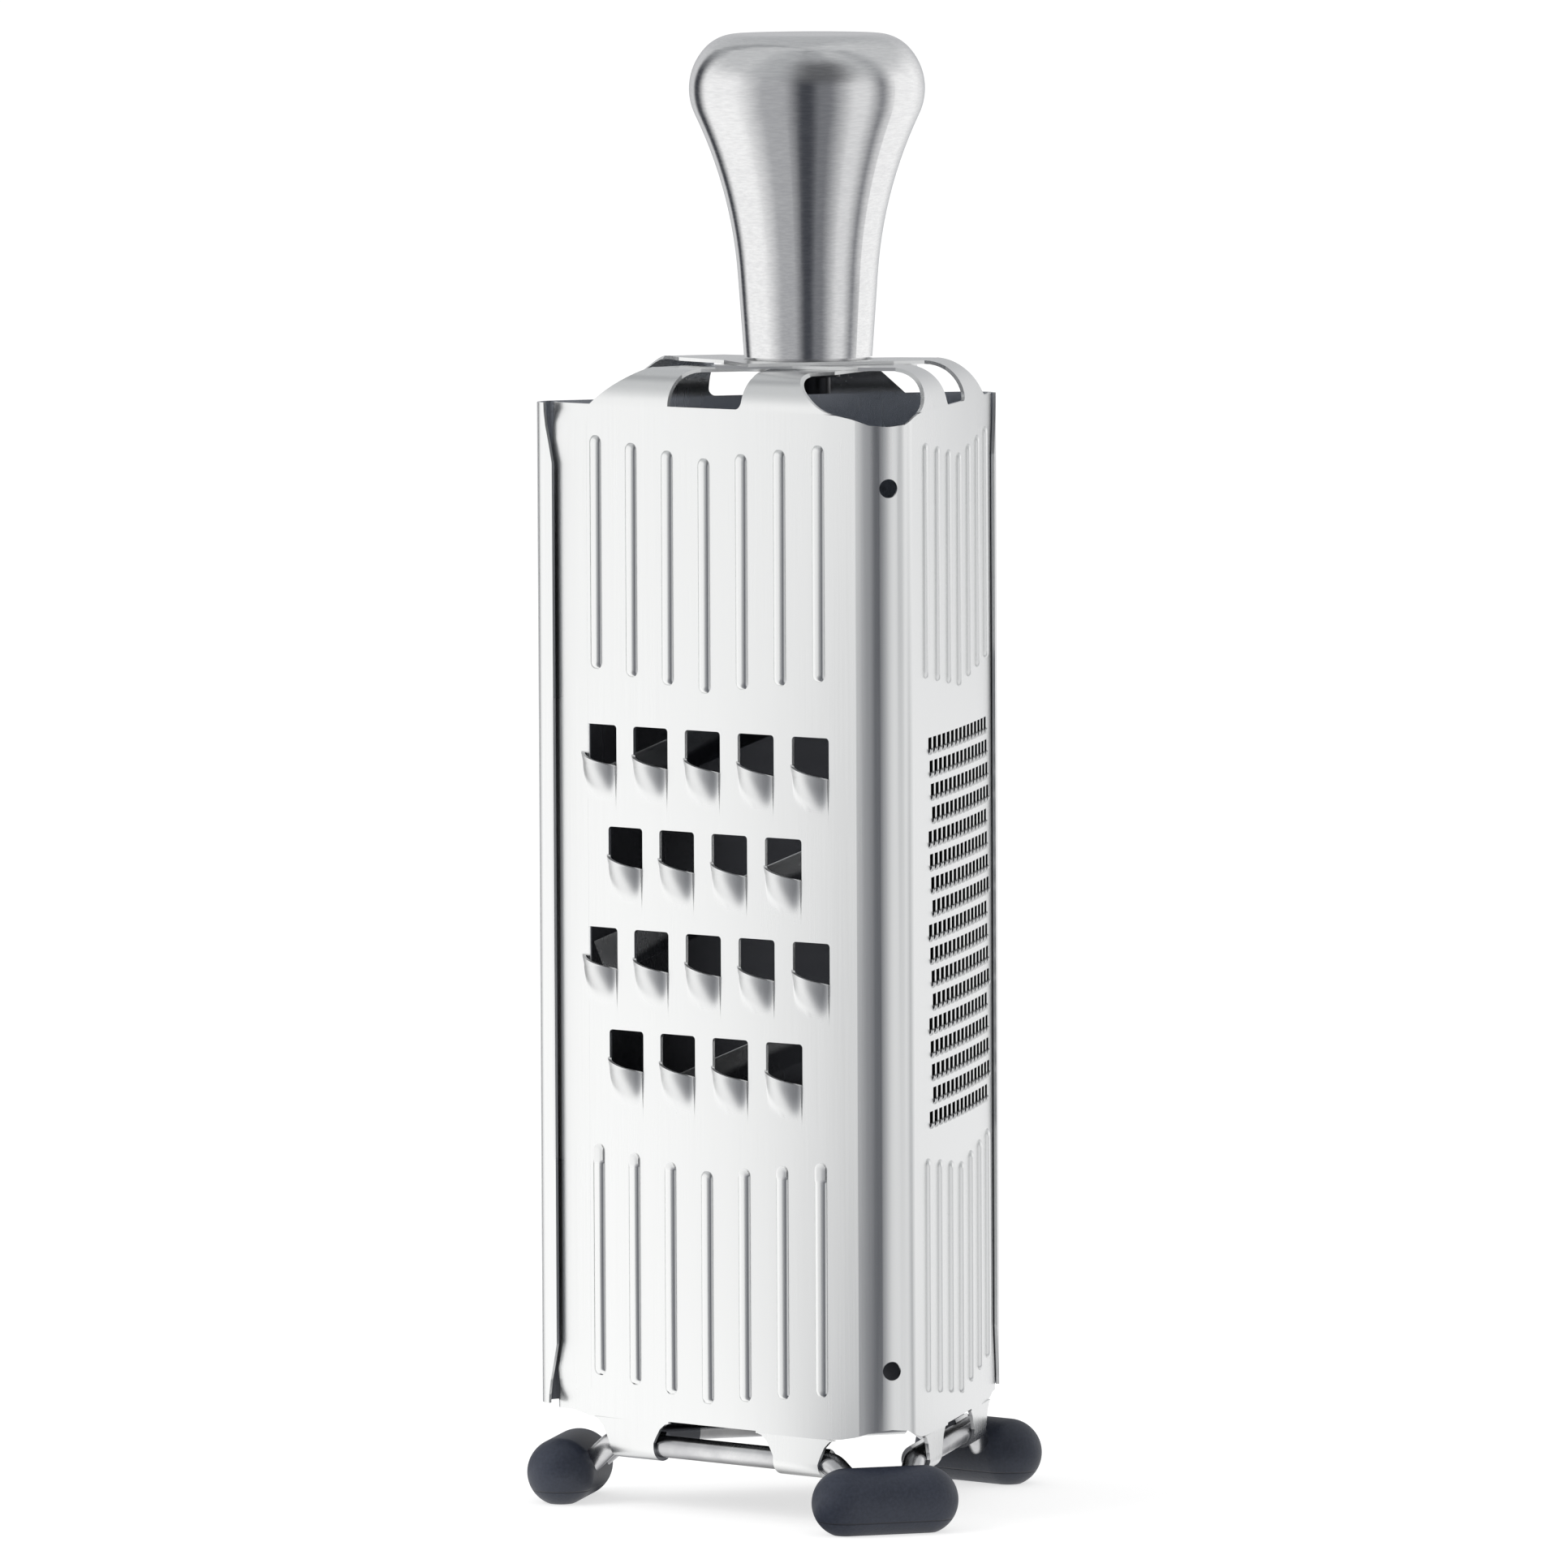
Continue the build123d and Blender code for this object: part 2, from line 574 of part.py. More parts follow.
def tube(plan):
    """A sheet's upright wall."""
    return Pos(0, 0, TUBE_BASE) * extrude(plan, amount=TUBE_TOP - TUBE_BASE, dir=(0, 0, 1))


def one_solid(shape):
    """The single solid of a finished piece."""
    solids = shape.solids()
    if len(solids) != 1:
        raise ValueError("a piece came out as %d solids" % len(solids))
    return solids[0]


def front_sheet():
    """Faces one and two with their corner, tongues, tabs, ribs and teeth."""
    adds = []
    cuts = corner_cuts()
    for face in (0, 1):
        adds.append(to_face(tongue(face), face))
        adds += [to_face(body, face) for body in tabs()]
        adds += [to_face(bead, face) for bead in ribs(RIB_UPPER_BASE, RIB_SHIFTS[face])]
        cuts.append(to_face(tab_window(), face))
    cuts.append(margin_cut(MARGIN_BASE))
    cuts.append(Rot(0, 0, FACE_TURN) * mirror(margin_cut(MARGIN_BASE), Plane.YZ))
    hole, inside, scoop = coarse_tooth()
    scoops = []
    for run, level in coarse_places():
        cuts += [place_tooth(hole, run, level), place_tooth(inside, run, level)]
        scoops.append(place_tooth(scoop, run, level))
    cuts += [to_face(slot, 1) for slot in fine_slots()]
    sheet = (tube(front_plan()) - cuts) + adds + scoops
    return one_solid(sheet)


def lip_trims():
    """What narrows the lip over face one's far edge at its top and at its foot."""
    near = lip_corner()[0]
    start = near[0] + LIP_RUN
    cuts = []
    for end, way in ((TUBE_TOP, -1), (LIP_BASE, 1)):
        curve = [(start - LIP_TRIM * run, end + way * LIP_TRIM_TALL * tall)
                 for run, tall in LIP_TRIM_SHARES]
        outside = [(start - LIP_TRIM, end - way * SHEET * 2), (start + LIP_TRIM, end - way * SHEET * 2),
                   (start + LIP_TRIM, end + way * LIP_TRIM_TALL)]
        outline = make_face(Polyline(*[(run, near[1], level) for run, level in curve + outside],
                                     close=True))
        cuts.append(extrude(outline, amount=TOOL_REACH, dir=(0, -1, 0)))
    return cuts


def rear_sheet():
    """Face three with its lips, tongue, tabs, ribs and slicing blades."""
    cuts, blades = slice_parts()
    cuts.append(tab_window())
    cuts.append(margin_cut(LIP_BASE))
    cuts.append(mirror(margin_cut(LIP_BASE), Plane.YZ))
    for trim in lip_trims():
        cuts.append(Rot(0, 0, FACE_TURN) * trim)
        cuts.append(Rot(0, 0, -FACE_TURN) * mirror(trim, Plane.YZ))
    body = (tube(rear_plan()) - cuts) + blades + ribs(RIB_REAR_BASE, RIB_SHIFTS[2])
    body = along_face(body, REAR_SHIFT) + tongue(2) + tabs()
    return one_solid(to_face(body, 2))


def beyond_corner(point):
    """A point's mirror image on the other side of the front corner."""
    lean = math.radians(2 * (HALF_FACE_TURN - RIGHT_ANGLE))
    return (point[0] * math.cos(lean) + point[1] * math.sin(lean),
            point[0] * math.sin(lean) - point[1] * math.cos(lean), point[2])


def wire_corner():
    """Centre line of the wire from face one's tab down round the front corner to face two's tab."""
    across = math.tan(math.radians(HALF_FACE_TURN))
    low = WIRE_LEVEL - WIRE_DIP
    bend_start = (WIRE_OUT - WIRE_BEND) * across
    down = [(TAB_OUT, -WIRE_OUT, WIRE_LEVEL), (TAB_OUT + WIRE_EASE, -WIRE_OUT, WIRE_LEVEL),
            (bend_start - WIRE_EASE, -WIRE_OUT, low)]
    corner = (WIRE_OUT * across, -WIRE_OUT, low)
    up = [beyond_corner(point) for point in reversed(down)]
    return FilletPolyline(*down, corner, *up, radius=WIRE_BEND)


def wire_bend():
    """The wire's bent part at the front corner."""
    path = wire_corner()
    section = Plane(origin=path @ 0, z_dir=path % 0) * Circle(WIRE_RADIUS)
    return sweep(section, path=path)


def foot_ring():
    """The closed wire that the tabs are rolled round."""
    side = Pos(0, -WIRE_OUT, WIRE_LEVEL) * Cylinder(WIRE_RADIUS, 2 * TAB_OUT, rotation=(0, RIGHT_ANGLE, 0))
    corner = wire_bend()
    pieces = []
    for face in range(FACES):
        pieces += [to_face(side, face), to_face(corner, face)]
    return one_solid(pieces[0] + pieces[1:])


def foot_profile():
    """Half of a foot's round cross-section, from its middle line outwards, flat at the sole."""
    sole = (FOOT_SOLE / 2, 0, 0)
    top = (0, 0, FOOT_HEIGHT)
    side = (FOOT_RADIUS, 0, FOOT_HEIGHT - FOOT_RADIUS)
    return make_face(Wire.combine([Polyline(top, (0, 0, 0), sole), ThreePointArc(sole, side, top)])[0])


def foot(slip):
    """The front corner's rubber foot, its wire tunnel cut through."""
    profile = foot_profile()
    end = revolve(profile, Axis.Z, revolution_arc=HALF_TURN)
    core = extrude(profile + mirror(profile, Plane.YZ), amount=FOOT_SIDE, dir=(0, 1, 0), both=True)
    body = core + [Pos(0, FOOT_SIDE, 0) * end, Pos(0, -FOOT_SIDE, 0) * (Rot(0, 0, HALF_TURN) * end)]
    turn = HALF_FACE_TURN - RIGHT_ANGLE
    body = Rot(0, 0, turn) * (Pos(FOOT_OUT, slip, 0) * body)
    return one_solid(body - wire_bend())


def knob_side():
    """The knob's outline from its neck to its crown: a line, then arcs that run into one another."""
    points = [(KNOB_NECK * out, 0, KNOB_BASE + KNOB_HEIGHT * up) for out, up in KNOB_SIDE_SHARES]
    points.append((KNOB_CROWN, 0, HEIGHT))
    sides = [Line(points[0], points[1])]
    for start, end in zip(points[1:], points[2:]):
        sides.append(TangentArc(start, end, tangent=sides[-1] % 1))
    return sides


def turned_solid(outline):
    """The solid of a closed outline turned round the tower's axis."""
    return revolve(make_face(outline), Axis.Z)


def knob():
    """The turned hollow knob: a bore for the plug, and a bulb-shaped hollow over it."""
    sides = knob_side()
    crown, foot_edge = sides[-1] @ 1, sides[0] @ 0
    rest = Polyline(crown, (0, 0, HEIGHT), (0, 0, KNOB_BASE), foot_edge)
    shell = turned_solid(Wire.combine(sides + [rest])[0])
    bore = foot_edge.X - KNOB_WALL
    rim = sides[2] @ (1 / 2)
    hollow = turned_solid(Polyline(
        (0, 0, KNOB_BASE), (bore, 0, KNOB_BASE), (bore, 0, TONGUE_LEVELS[-1] + CORE_LENGTH),
        (rim.X - 2 * KNOB_WALL, 0, rim.Z), (KNOB_CROWN - KNOB_WALL, 0, HEIGHT - KNOB_WALL),
        (0, 0, HEIGHT - KNOB_WALL), close=True))
    return one_solid(shell - hollow)


def knob_core():
    """The plug inside the knob's neck that takes the screw."""
    radius = KNOB_NECK * KNOB_SIDE_SHARES[0][0] - KNOB_WALL - CORE_WALL_FIT
    low = TONGUE_LEVELS[-1]
    body = Pos(0, 0, low) * Cylinder(radius, CORE_LENGTH, align=(Align.CENTER, Align.CENTER, Align.MIN))
    bore = Pos(0, 0, low) * Cylinder(SCREW / 2, SCREW_REACH, align=(Align.CENTER, Align.CENTER, Align.MIN))
    return one_solid(body - bore)


def clamp_washer():
    """The washer under the three tongues."""
    top = TONGUE_LEVEL - SHEET
    ring = Cylinder(WASHER / 2, WASHER_THICK) - Cylinder(SCREW / 2 + SCREW_FIT, WASHER_THICK)
    return one_solid(Pos(0, 0, top - WASHER_THICK / 2) * ring)


def screw():
    """The socket screw that holds the knob from inside the tube."""
    top = TONGUE_LEVEL - SHEET - WASHER_THICK
    up = (Align.CENTER, Align.CENTER, Align.MIN)
    reach = TONGUE_LEVELS[-1] + SCREW_REACH - top
    shank = Pos(0, 0, top) * Cylinder(SCREW / 2, reach, align=up)
    head = Pos(0, 0, top - SCREW_HEAD_HEIGHT) * Cylinder(SCREW_HEAD / 2, SCREW_HEAD_HEIGHT, align=up)
    socket = extrude(RegularPolygon(SCREW_SOCKET / 2, SOCKET_SIDES), amount=SCREW_SOCKET_DEPTH)
    return one_solid((shank + head) - Pos(0, 0, top - SCREW_HEAD_HEIGHT) * socket)


def screw_hole():
    """The hole through the three tongues."""
    return Pos(0, 0, TONGUE_LEVEL) * Cylinder(SCREW / 2 + SCREW_FIT, TOOL_REACH)


def build():
    """Every piece, under its node name."""
    front_foot, rear_foot, left_foot = [to_face(foot(slip), face) for face, slip in enumerate(FOOT_SLIPS)]
    return {
        "front_sheet": one_solid(front_sheet() - screw_hole()),
        "rear_sheet": one_solid(rear_sheet() - screw_hole()),
        "foot_ring": foot_ring(),
        "foot_front": front_foot,
        "foot_rear": rear_foot,
        "foot_left": left_foot,
        "knob": knob(),
        "knob_core": knob_core(),
        "clamp_washer": clamp_washer(),
        "screw": screw(),
    }


def box_middle(solids):
    """Plan middle of the box round every piece."""
    boxes = [solid.bounding_box() for solid in solids]
    low_x, high_x = min(box.min.X for box in boxes), max(box.max.X for box in boxes)
    low_y, high_y = min(box.min.Y for box in boxes), max(box.max.Y for box in boxes)
    return (low_x + high_x) / 2, (low_y + high_y) / 2


pieces = build()
middle_x, middle_y = box_middle(pieces.values())
os.makedirs("parts", exist_ok=True)
for name, piece in pieces.items():
    export_step(Pos(-middle_x, -middle_y, 0) * piece, "parts/" + name + ".step")
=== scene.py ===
"""Three-sided steel box grater: finishes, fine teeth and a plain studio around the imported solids.

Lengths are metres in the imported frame, Z up. The tower's own axis is the knob's.
"""
import math

import bpy
import numpy as np
from bpy.props import FloatProperty, FloatVectorProperty, IntProperty, PointerProperty
from mathutils import Matrix, Vector


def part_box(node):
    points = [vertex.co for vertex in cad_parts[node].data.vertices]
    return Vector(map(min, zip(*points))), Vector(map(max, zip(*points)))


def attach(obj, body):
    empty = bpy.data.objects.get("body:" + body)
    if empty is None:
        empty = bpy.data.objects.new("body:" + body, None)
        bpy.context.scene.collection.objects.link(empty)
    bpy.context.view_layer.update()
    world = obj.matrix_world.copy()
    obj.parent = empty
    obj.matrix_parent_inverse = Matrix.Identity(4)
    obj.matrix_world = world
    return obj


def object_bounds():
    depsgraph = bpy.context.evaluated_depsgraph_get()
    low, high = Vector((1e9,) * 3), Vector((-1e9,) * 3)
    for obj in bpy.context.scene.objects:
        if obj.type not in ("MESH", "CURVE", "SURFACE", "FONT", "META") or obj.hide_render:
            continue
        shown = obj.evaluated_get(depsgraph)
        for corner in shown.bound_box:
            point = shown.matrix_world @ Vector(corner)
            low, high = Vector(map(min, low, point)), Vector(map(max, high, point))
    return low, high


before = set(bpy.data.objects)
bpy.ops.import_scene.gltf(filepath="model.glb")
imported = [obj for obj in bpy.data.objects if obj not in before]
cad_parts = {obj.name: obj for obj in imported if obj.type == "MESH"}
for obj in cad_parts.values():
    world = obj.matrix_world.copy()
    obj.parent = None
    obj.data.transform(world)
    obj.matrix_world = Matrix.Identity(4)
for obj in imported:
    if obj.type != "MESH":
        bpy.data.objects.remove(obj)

bl_info = {
    "name": "Box grater",
    "version": (1, 0, 0),
    "blender": (4, 5, 0),
    "location": "View3D > Sidebar > Grater",
    "description": "Finishes, fine teeth and studio for a three-sided box grater",
    "category": "Object",
}

CAD_BOX = [list(corner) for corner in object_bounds()]

# The tower: the turn from face to face, the radius that a face curves to, how far its middle and that
# radius's centre are from the axis, the sheet's thickness and the height of the open top
FACE_TURN = math.radians(120.0)
FACE_RADIUS = 0.666
FACE_OUT = 0.0307
FACE_BACK = FACE_RADIUS - FACE_OUT
SHEET = 0.0007
TUBE_TOP = 0.225

# Fields of pressed work: heights of the fine slots and where their rows begin at the left, heights
# and sides of the coarse scoops, how many scoops each row has, and the slicing slots
FINE_HEIGHTS = (0.078, 0.161)
FINE_LEFT = (-0.030, -0.0295)
COARSE_HEIGHTS = (0.07, 0.165)
COARSE_SIDES = (-0.042, 0.034)
COARSE_ROWS = (5, 4, 5, 4)
SLICES = 3

# The first face's swollen margin, and the ribs: how many to a group, and each face's sideways shift
MARGIN_SIDES = (-0.0424, -0.0336)
MARGIN_HEIGHTS = (0.0206, 0.2246)
RIBS = 7
RIB_SHIFTS = (-0.0009, 0.0018, 0.001)

# Heights between which the feet's mould line runs, its crease darkened with painted shade
MOULD_LINE = (0.00255, 0.0030)

# How far a normal points in or down as a surface begins to count, and fully counts, as an inner side,
# which takes painted shade
TURNED_IN = (0.3, 0.55)
# The least that the knob's shading leans up
KNOB_LIFT = 0.06
# Plan place of the front corner from the axis. The near floor's screens are measured from it
CORNER = (0.024, -0.028)
# Distances from the axis over which the floor passes from a painted shadow under the tower to its own
# screens, and on to the room's
PAINTED_SHADOW_UNDER_TOWER = (0.02, 0.045)
NEAR_FLOOR = (2.75, 3.0)


def box_of(node):
    """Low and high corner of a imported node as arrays."""
    low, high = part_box(node)
    return np.array(low), np.array(high)


def knob_axis():
    """Plan place of the tower's axis: the middle of the knob's box."""
    low, high = box_of("knob")
    return (low[:2] + high[:2]) / 2


AXIS = knob_axis()
HEIGHT = CAD_BOX[1][2] - CAD_BOX[0][2]

# The studio's screens as the metal sees them: from and to, in degrees from the camera's side and
# positive to its right, and a grey level. The light passes evenly from each one to the next
SCREENS = (
    (-180, -170, 0.7), (-148, -148, 0.8), (-142, -133, 0.2), (-120, -76, 0.95), (-45, -22, 0.65),
    (-6, 4, 0.25), (12, 24, 0.45), (48, 62, 0.85), (80, 80, 0.45), (98, 134, 0.95), (168, 180, 0.7),
)
# The same for the light that comes off the near floor
LOW_SCREENS = (
    (-180, -152, 0.85), (-142, -142, 0.35), (-133, -130, 0.9), (-118, -82, 1.0), (-74, -74, 0.6),
    (-64, -50, 0.5), (-16, 0, 0.35), (20, 20, 0.7), (36, 100, 0.85), (121, 121, 0.6), (139, 152, 0.9),
    (180, 180, 0.85),
)
# What a quite dark screen adds of red, green and blue, and the power from screen levels to light
COOL = (0.0, 0.01, 0.04)
LEVEL_POWER = 2.2


# Shader maths

class Sock:
    """A shader output, or a number, that adds its own Math nodes as it is used in sums."""

    def __init__(self, tree, link):
        self.tree = tree
        self.link = link

    def math(self, operation, other=None):
        node = self.tree.nodes.new("ShaderNodeMath")
        node.operation = operation
        self.tree.links.new(self.link, node.inputs[0])
        if isinstance(other, Sock):
            self.tree.links.new(other.link, node.inputs[1])
        elif other is not None:
            node.inputs[1].default_value = other
        return Sock(self.tree, node.outputs[0])

    def flipped(self, operation, other):
        """The same sum with a plain number first."""
        node = self.tree.nodes.new("ShaderNodeMath")
        node.operation = operation
        node.inputs[0].default_value = other
        self.tree.links.new(self.link, node.inputs[1])
        return Sock(self.tree, node.outputs[0])

    def __add__(self, other):
        return self.math("ADD", other)

    __radd__ = __add__

    def __mul__(self, other):
        return self.math("MULTIPLY", other)

    __rmul__ = __mul__

    def __sub__(self, other):
        return self.math("SUBTRACT", other)

    def __rsub__(self, other):
        return self.flipped("SUBTRACT", other)

    def __truediv__(self, other):
        return self.math("DIVIDE", other)

    def clamp(self):
        node = self.tree.nodes.new("ShaderNodeClamp")
        self.tree.links.new(self.link, node.inputs[0])
        return Sock(self.tree, node.outputs[0])

    def step(self, low, high):
        """A smooth step from 0 at low to 1 at high."""
        node = self.tree.nodes.new("ShaderNodeMapRange")
        node.interpolation_type = "SMOOTHSTEP"
        node.inputs["From Min"].default_value = low
        node.inputs["From Max"].default_value = high
        self.tree.links.new(self.link, node.inputs["Value"])
        return Sock(self.tree, node.outputs["Result"])


class Board:
    """A material's or world's node tree, with one method that adds any node."""

    def __init__(self, tree):
        self.tree = tree
        tree.nodes.clear()

    def node(self, kind, settings=None, inputs=None, output=0):
        made = self.tree.nodes.new(kind)
        for name, value in (settings or {}).items():
            if name == "stops":
                ramp = made.color_ramp
                while len(ramp.elements) < len(value):
                    ramp.elements.new(0.5)
                for element, (place, colour) in zip(ramp.elements, value):
                    element.position = place
                    element.color = colour
            else:
                setattr(made, name, value)
        for name, value in (inputs or {}).items():
            if isinstance(value, Sock):
                self.tree.links.new(value.link, made.inputs[name])
            else:
                made.inputs[name].default_value = value
        return Sock(self.tree, made.outputs[output])

    def parts(self, vector):
        """The three parts of a vector."""
        split = self.tree.nodes.new("ShaderNodeSeparateXYZ")
        self.tree.links.new(vector.link, split.inputs[0])
        return [Sock(self.tree, out) for out in split.outputs]

    def place(self):
        """The point being shaded in Object coordinates, whole and in three parts."""
        spot = self.node("ShaderNodeTexCoord", output="Object")
        return spot, self.parts(spot)

    def joined(self, x, y, z):
        """A vector from three values."""
        return self.node("ShaderNodeCombineXYZ", inputs={"X": x, "Y": y, "Z": z})

    def off_axis(self, x, y):
        """How far east and north of the tower's axis a point is."""
        return x - float(AXIS[0]), y - float(AXIS[1])

    def off_centre(self, x, y, face):
        """How far east and north a point is of the centre that a face of the tower curves about."""
        turn = face * FACE_TURN
        east = x - float(AXIS[0] - FACE_BACK * math.sin(turn))
        north = y - float(AXIS[1] + FACE_BACK * math.cos(turn))
        return east, north

    def reach(self, east, north):
        """Level distance: the root of east squared and north squared."""
        return (east * east + north * north).math("SQRT")

    def outward(self, x, y, face, far):
        """The level direction out of a face, for a point that far from its centre."""
        east, north = self.off_centre(x, y, face)
        return self.joined(east / far, north / far, 0.0)

    def unit(self, vector):
        """A vector at length 1."""
        return self.node("ShaderNodeVectorMath", {"operation": "NORMALIZE"}, {0: vector})

    def between(self, value, low, high, soft=0.001):
        """1 between two limits and 0 outside them."""
        return value.step(low, low + soft) * (1.0 - value.step(high - soft, high))

    def inside(self, x, y, z):
        """1 on the tube's inner side and under its tongues, where the sheet's colour is painted shade;
        0 on what faces out or stands outside.
        """
        out_x, out_y, out_z = self.parts(self.node("ShaderNodeNewGeometry", output="True Normal"))
        east, north = self.off_axis(x, y)
        reach = self.reach(east, north).math("MAXIMUM", 0.001)
        inward = ((out_x * east + out_y * north) / reach * -1.0).step(*TURNED_IN)
        under = (out_z * -1.0).step(*TURNED_IN) * (1.0 - reach.step(0.032, 0.035))
        low = 1.0 - z.step(TUBE_TOP, TUBE_TOP + 0.0006)
        far = self.reach(*self.off_centre(x, y, 0))
        for face in (1, 2):
            far = far.math("MAXIMUM", self.reach(*self.off_centre(x, y, face)))
        covered = 1.0 - far.step(FACE_RADIUS + 0.0001, FACE_RADIUS + 0.0004)
        return (inward * low).math("MAXIMUM", under * z.step(0.2, 0.21)) * covered

    def noise(self, vector, scale, detail=3.0, rough=0.55):
        """Noise between 0 and 1."""
        return self.node("ShaderNodeTexNoise", inputs={
            "Vector": vector, "Scale": scale, "Detail": detail, "Roughness": rough})

    def tint(self, share, first, second):
        """A colour between two by a share."""
        node = self.tree.nodes.new("ShaderNodeMix")
        node.data_type = "RGBA"
        self.tree.links.new(share.link, node.inputs["Factor"])
        for name, value in (("A", first), ("B", second)):
            socket = [s for s in node.inputs if s.name == name and s.type == "RGBA"][0]
            if isinstance(value, Sock):
                self.tree.links.new(value.link, socket)
            else:
                socket.default_value = (*value[:3], 1.0)
        return Sock(self.tree, [s for s in node.outputs if s.type == "RGBA"][0])

    def bump(self, height, depth, strength=1.0, base=None):
        """A normal from a height of 0 to 1 and a depth in metres, over another normal if given."""
        inputs = {"Height": height, "Distance": depth, "Strength": strength}
        if base is not None:
            inputs["Normal"] = base
        return self.node("ShaderNodeBump", inputs=inputs)

    def rays(self):
        """Whether the ray comes from the camera, from a glossy surface, or through one."""
        path = self.tree.nodes.new("ShaderNodeLightPath")
        return [Sock(self.tree, path.outputs[name])
                for name in ("Is Camera Ray", "Is Glossy Ray", "Is Transmission Ray")]

    def mixed(self, share, first, second):
        """Two shaders mixed by a share."""
        made = self.tree.nodes.new("ShaderNodeMixShader")
        for place, value in enumerate((share, first, second)):
            self.tree.links.new(value.link, made.inputs[place])
        return Sock(self.tree, made.outputs[0])

    def finish(self, surface):
        """Send a shader to the output."""
        out = self.tree.nodes.new("ShaderNodeOutputMaterial")
        self.tree.links.new(surface.link, out.inputs["Surface"])

    def finish_plain(self, colour, rough, metallic=1.0, **others):
        """Send one principled surface to the output."""
        inputs = {"Base Color": colour, "Metallic": metallic, "Roughness": rough, **others}
        self.finish(self.node("ShaderNodeBsdfPrincipled", inputs=inputs))


def new_board(name):
    """A fresh material and its board."""
    material = bpy.data.materials.new(name)
    material.use_nodes = True
    return material, Board(material.node_tree)


def grained_steel(settings, margin=False):
    """Satin sheet steel with a fine upright grain and faint cloudy wear, painted shade on its inner
    side and on the fine slots' walls, and painted light towards the open top.

    Pressed work on the first face melts into it: what stands out of the face by less than soften
    turns its shading towards the face's own direction. On the swollen margin all of it does.
    """
    material, board = new_board("Margin sheet steel" if margin else "Grained sheet steel")
    soften = 0.01 if margin else 0.0012
    spot, (x, y, z) = board.place()
    grain_at = board.joined(x, y, z * settings.grain_stretch)
    fine = board.noise(grain_at, scale=settings.grain_scale, detail=2.0)
    broad = board.noise(grain_at, scale=settings.grain_scale * 0.12)
    cloud = board.noise(spot, scale=26.0, detail=4.0)
    share = (fine * 0.5 + broad * 0.15 + cloud * 0.4).step(0.2, 0.9)
    colour = board.tint(share, settings.steel_dark, settings.steel_light)
    # Painted shade on the tube's inner side and under its tongues, passing to painted light towards the
    # open top
    shaded = board.tint(z.step(0.17, 0.22), settings.inside_painted_shade, settings.inside_top_painted_light)
    colour = board.tint(board.inside(x, y, z), colour, shaded)

    # Painted shade on the fine slots' side walls, inside the sheet of the second face
    far = board.reach(*board.off_centre(x, y, 1))
    east, north = board.off_axis(x, y)
    along = east * math.cos(FACE_TURN) + north * math.sin(FACE_TURN)
    wall = board.between(far, FACE_RADIUS - 0.0009, FACE_RADIUS - 0.0001, 0.0002)
    wall = wall * along.step(*FINE_LEFT)
    colour = board.tint(wall * board.between(z, *FINE_HEIGHTS), colour, settings.slot_wall_painted_shade)

    # The first face's pressed work
    far = board.reach(*board.off_centre(x, y, 0))
    rough = settings.steel_rough + fine * 0.05 + cloud * 0.05 - 0.05
    outside = far.step(FACE_RADIUS - 0.0002, FACE_RADIUS - 0.0001)
    melted = (1.0 - far.step(FACE_RADIUS + 0.0001, FACE_RADIUS + soften)) * outside
    if not margin:
        field = board.between(z, *COARSE_HEIGHTS) * board.between(x, *COARSE_SIDES)
        rough = rough + far.step(FACE_RADIUS + 0.0002, FACE_RADIUS + 0.0012) * field * 0.2
        melted = melted * field
    true = board.node("ShaderNodeNewGeometry", output="Normal")
    leaned = board.unit(board.tint(melted, true, board.outward(x, y, 0, far)))
    normal = board.bump(fine, settings.grain_depth, 0.12, leaned)
    board.finish_plain(colour, rough, Normal=normal)
    return material


def turned_steel(settings):
    """Turned steel, brushed in rings round the knob's axis.

    Its shading leans up by at least the lift, so that the neck mirrors the studio's wall and not
    its floor.
    """
    material, board = new_board("Turned knob steel")
    spot, (x, y, z) = board.place()
    east, north = board.off_axis(x, y)
    radius = board.reach(east, north)
    turn = north.math("ARCTAN2", east)
    ring_at = board.joined(turn * 0.0035, radius, z)
    rings = board.noise(ring_at, scale=settings.ring_scale, detail=2.0)
    broad = board.noise(ring_at, scale=settings.ring_scale * 0.15)
    cloud = board.noise(spot, scale=38.0)
    share = (rings * 0.6 + broad * 0.15 + cloud * 0.25).step(0.25, 0.8)
    colour = board.tint(share, settings.knob_dark, settings.knob_light)
    rough = settings.knob_rough + rings * 0.08 - 0.04
    out_x, out_y, out_z = board.parts(board.node("ShaderNodeNewGeometry", output="Normal"))
    lift = (out_z.math("MAXIMUM", KNOB_LIFT) - out_z) * out_z.step(-0.6, -0.4)
    lifted = board.unit(board.joined(out_x, out_y, out_z + lift))
    board.finish_plain(colour, rough, Normal=board.bump(rings, settings.ring_depth, 0.25, lifted))
    return material


def plain_steel(settings):
    """Drawn wire: half-bright steel with soft marks."""
    material, board = new_board("Drawn wire steel")
    spot, _ = board.place()
    marks = board.noise(spot, scale=90.0, detail=4.0)
    colour = board.tint(marks.step(0.3, 0.75), settings.wire_dark, settings.wire_light)
    rough = settings.wire_rough + marks * 0.12 - 0.06
    board.finish_plain(colour, rough, Normal=board.bump(marks, 0.00006, 0.3))
    return material


def fixing_steel_and_painted_shade(settings):
    """Blackened steel of the washer and screw inside the tube. Its near-black also serves as painted
    shade on the fine teeth's left flanks.
    """
    material, board = new_board("Blackened fixing steel and painted shade")
    spot, _ = board.place()
    marks = board.noise(spot, scale=140.0)
    colour = board.tint(marks.step(0.3, 0.7), (0.02, 0.021, 0.024), (0.045, 0.046, 0.05))
    board.finish_plain(colour, settings.wire_rough + marks * 0.2)
    return material


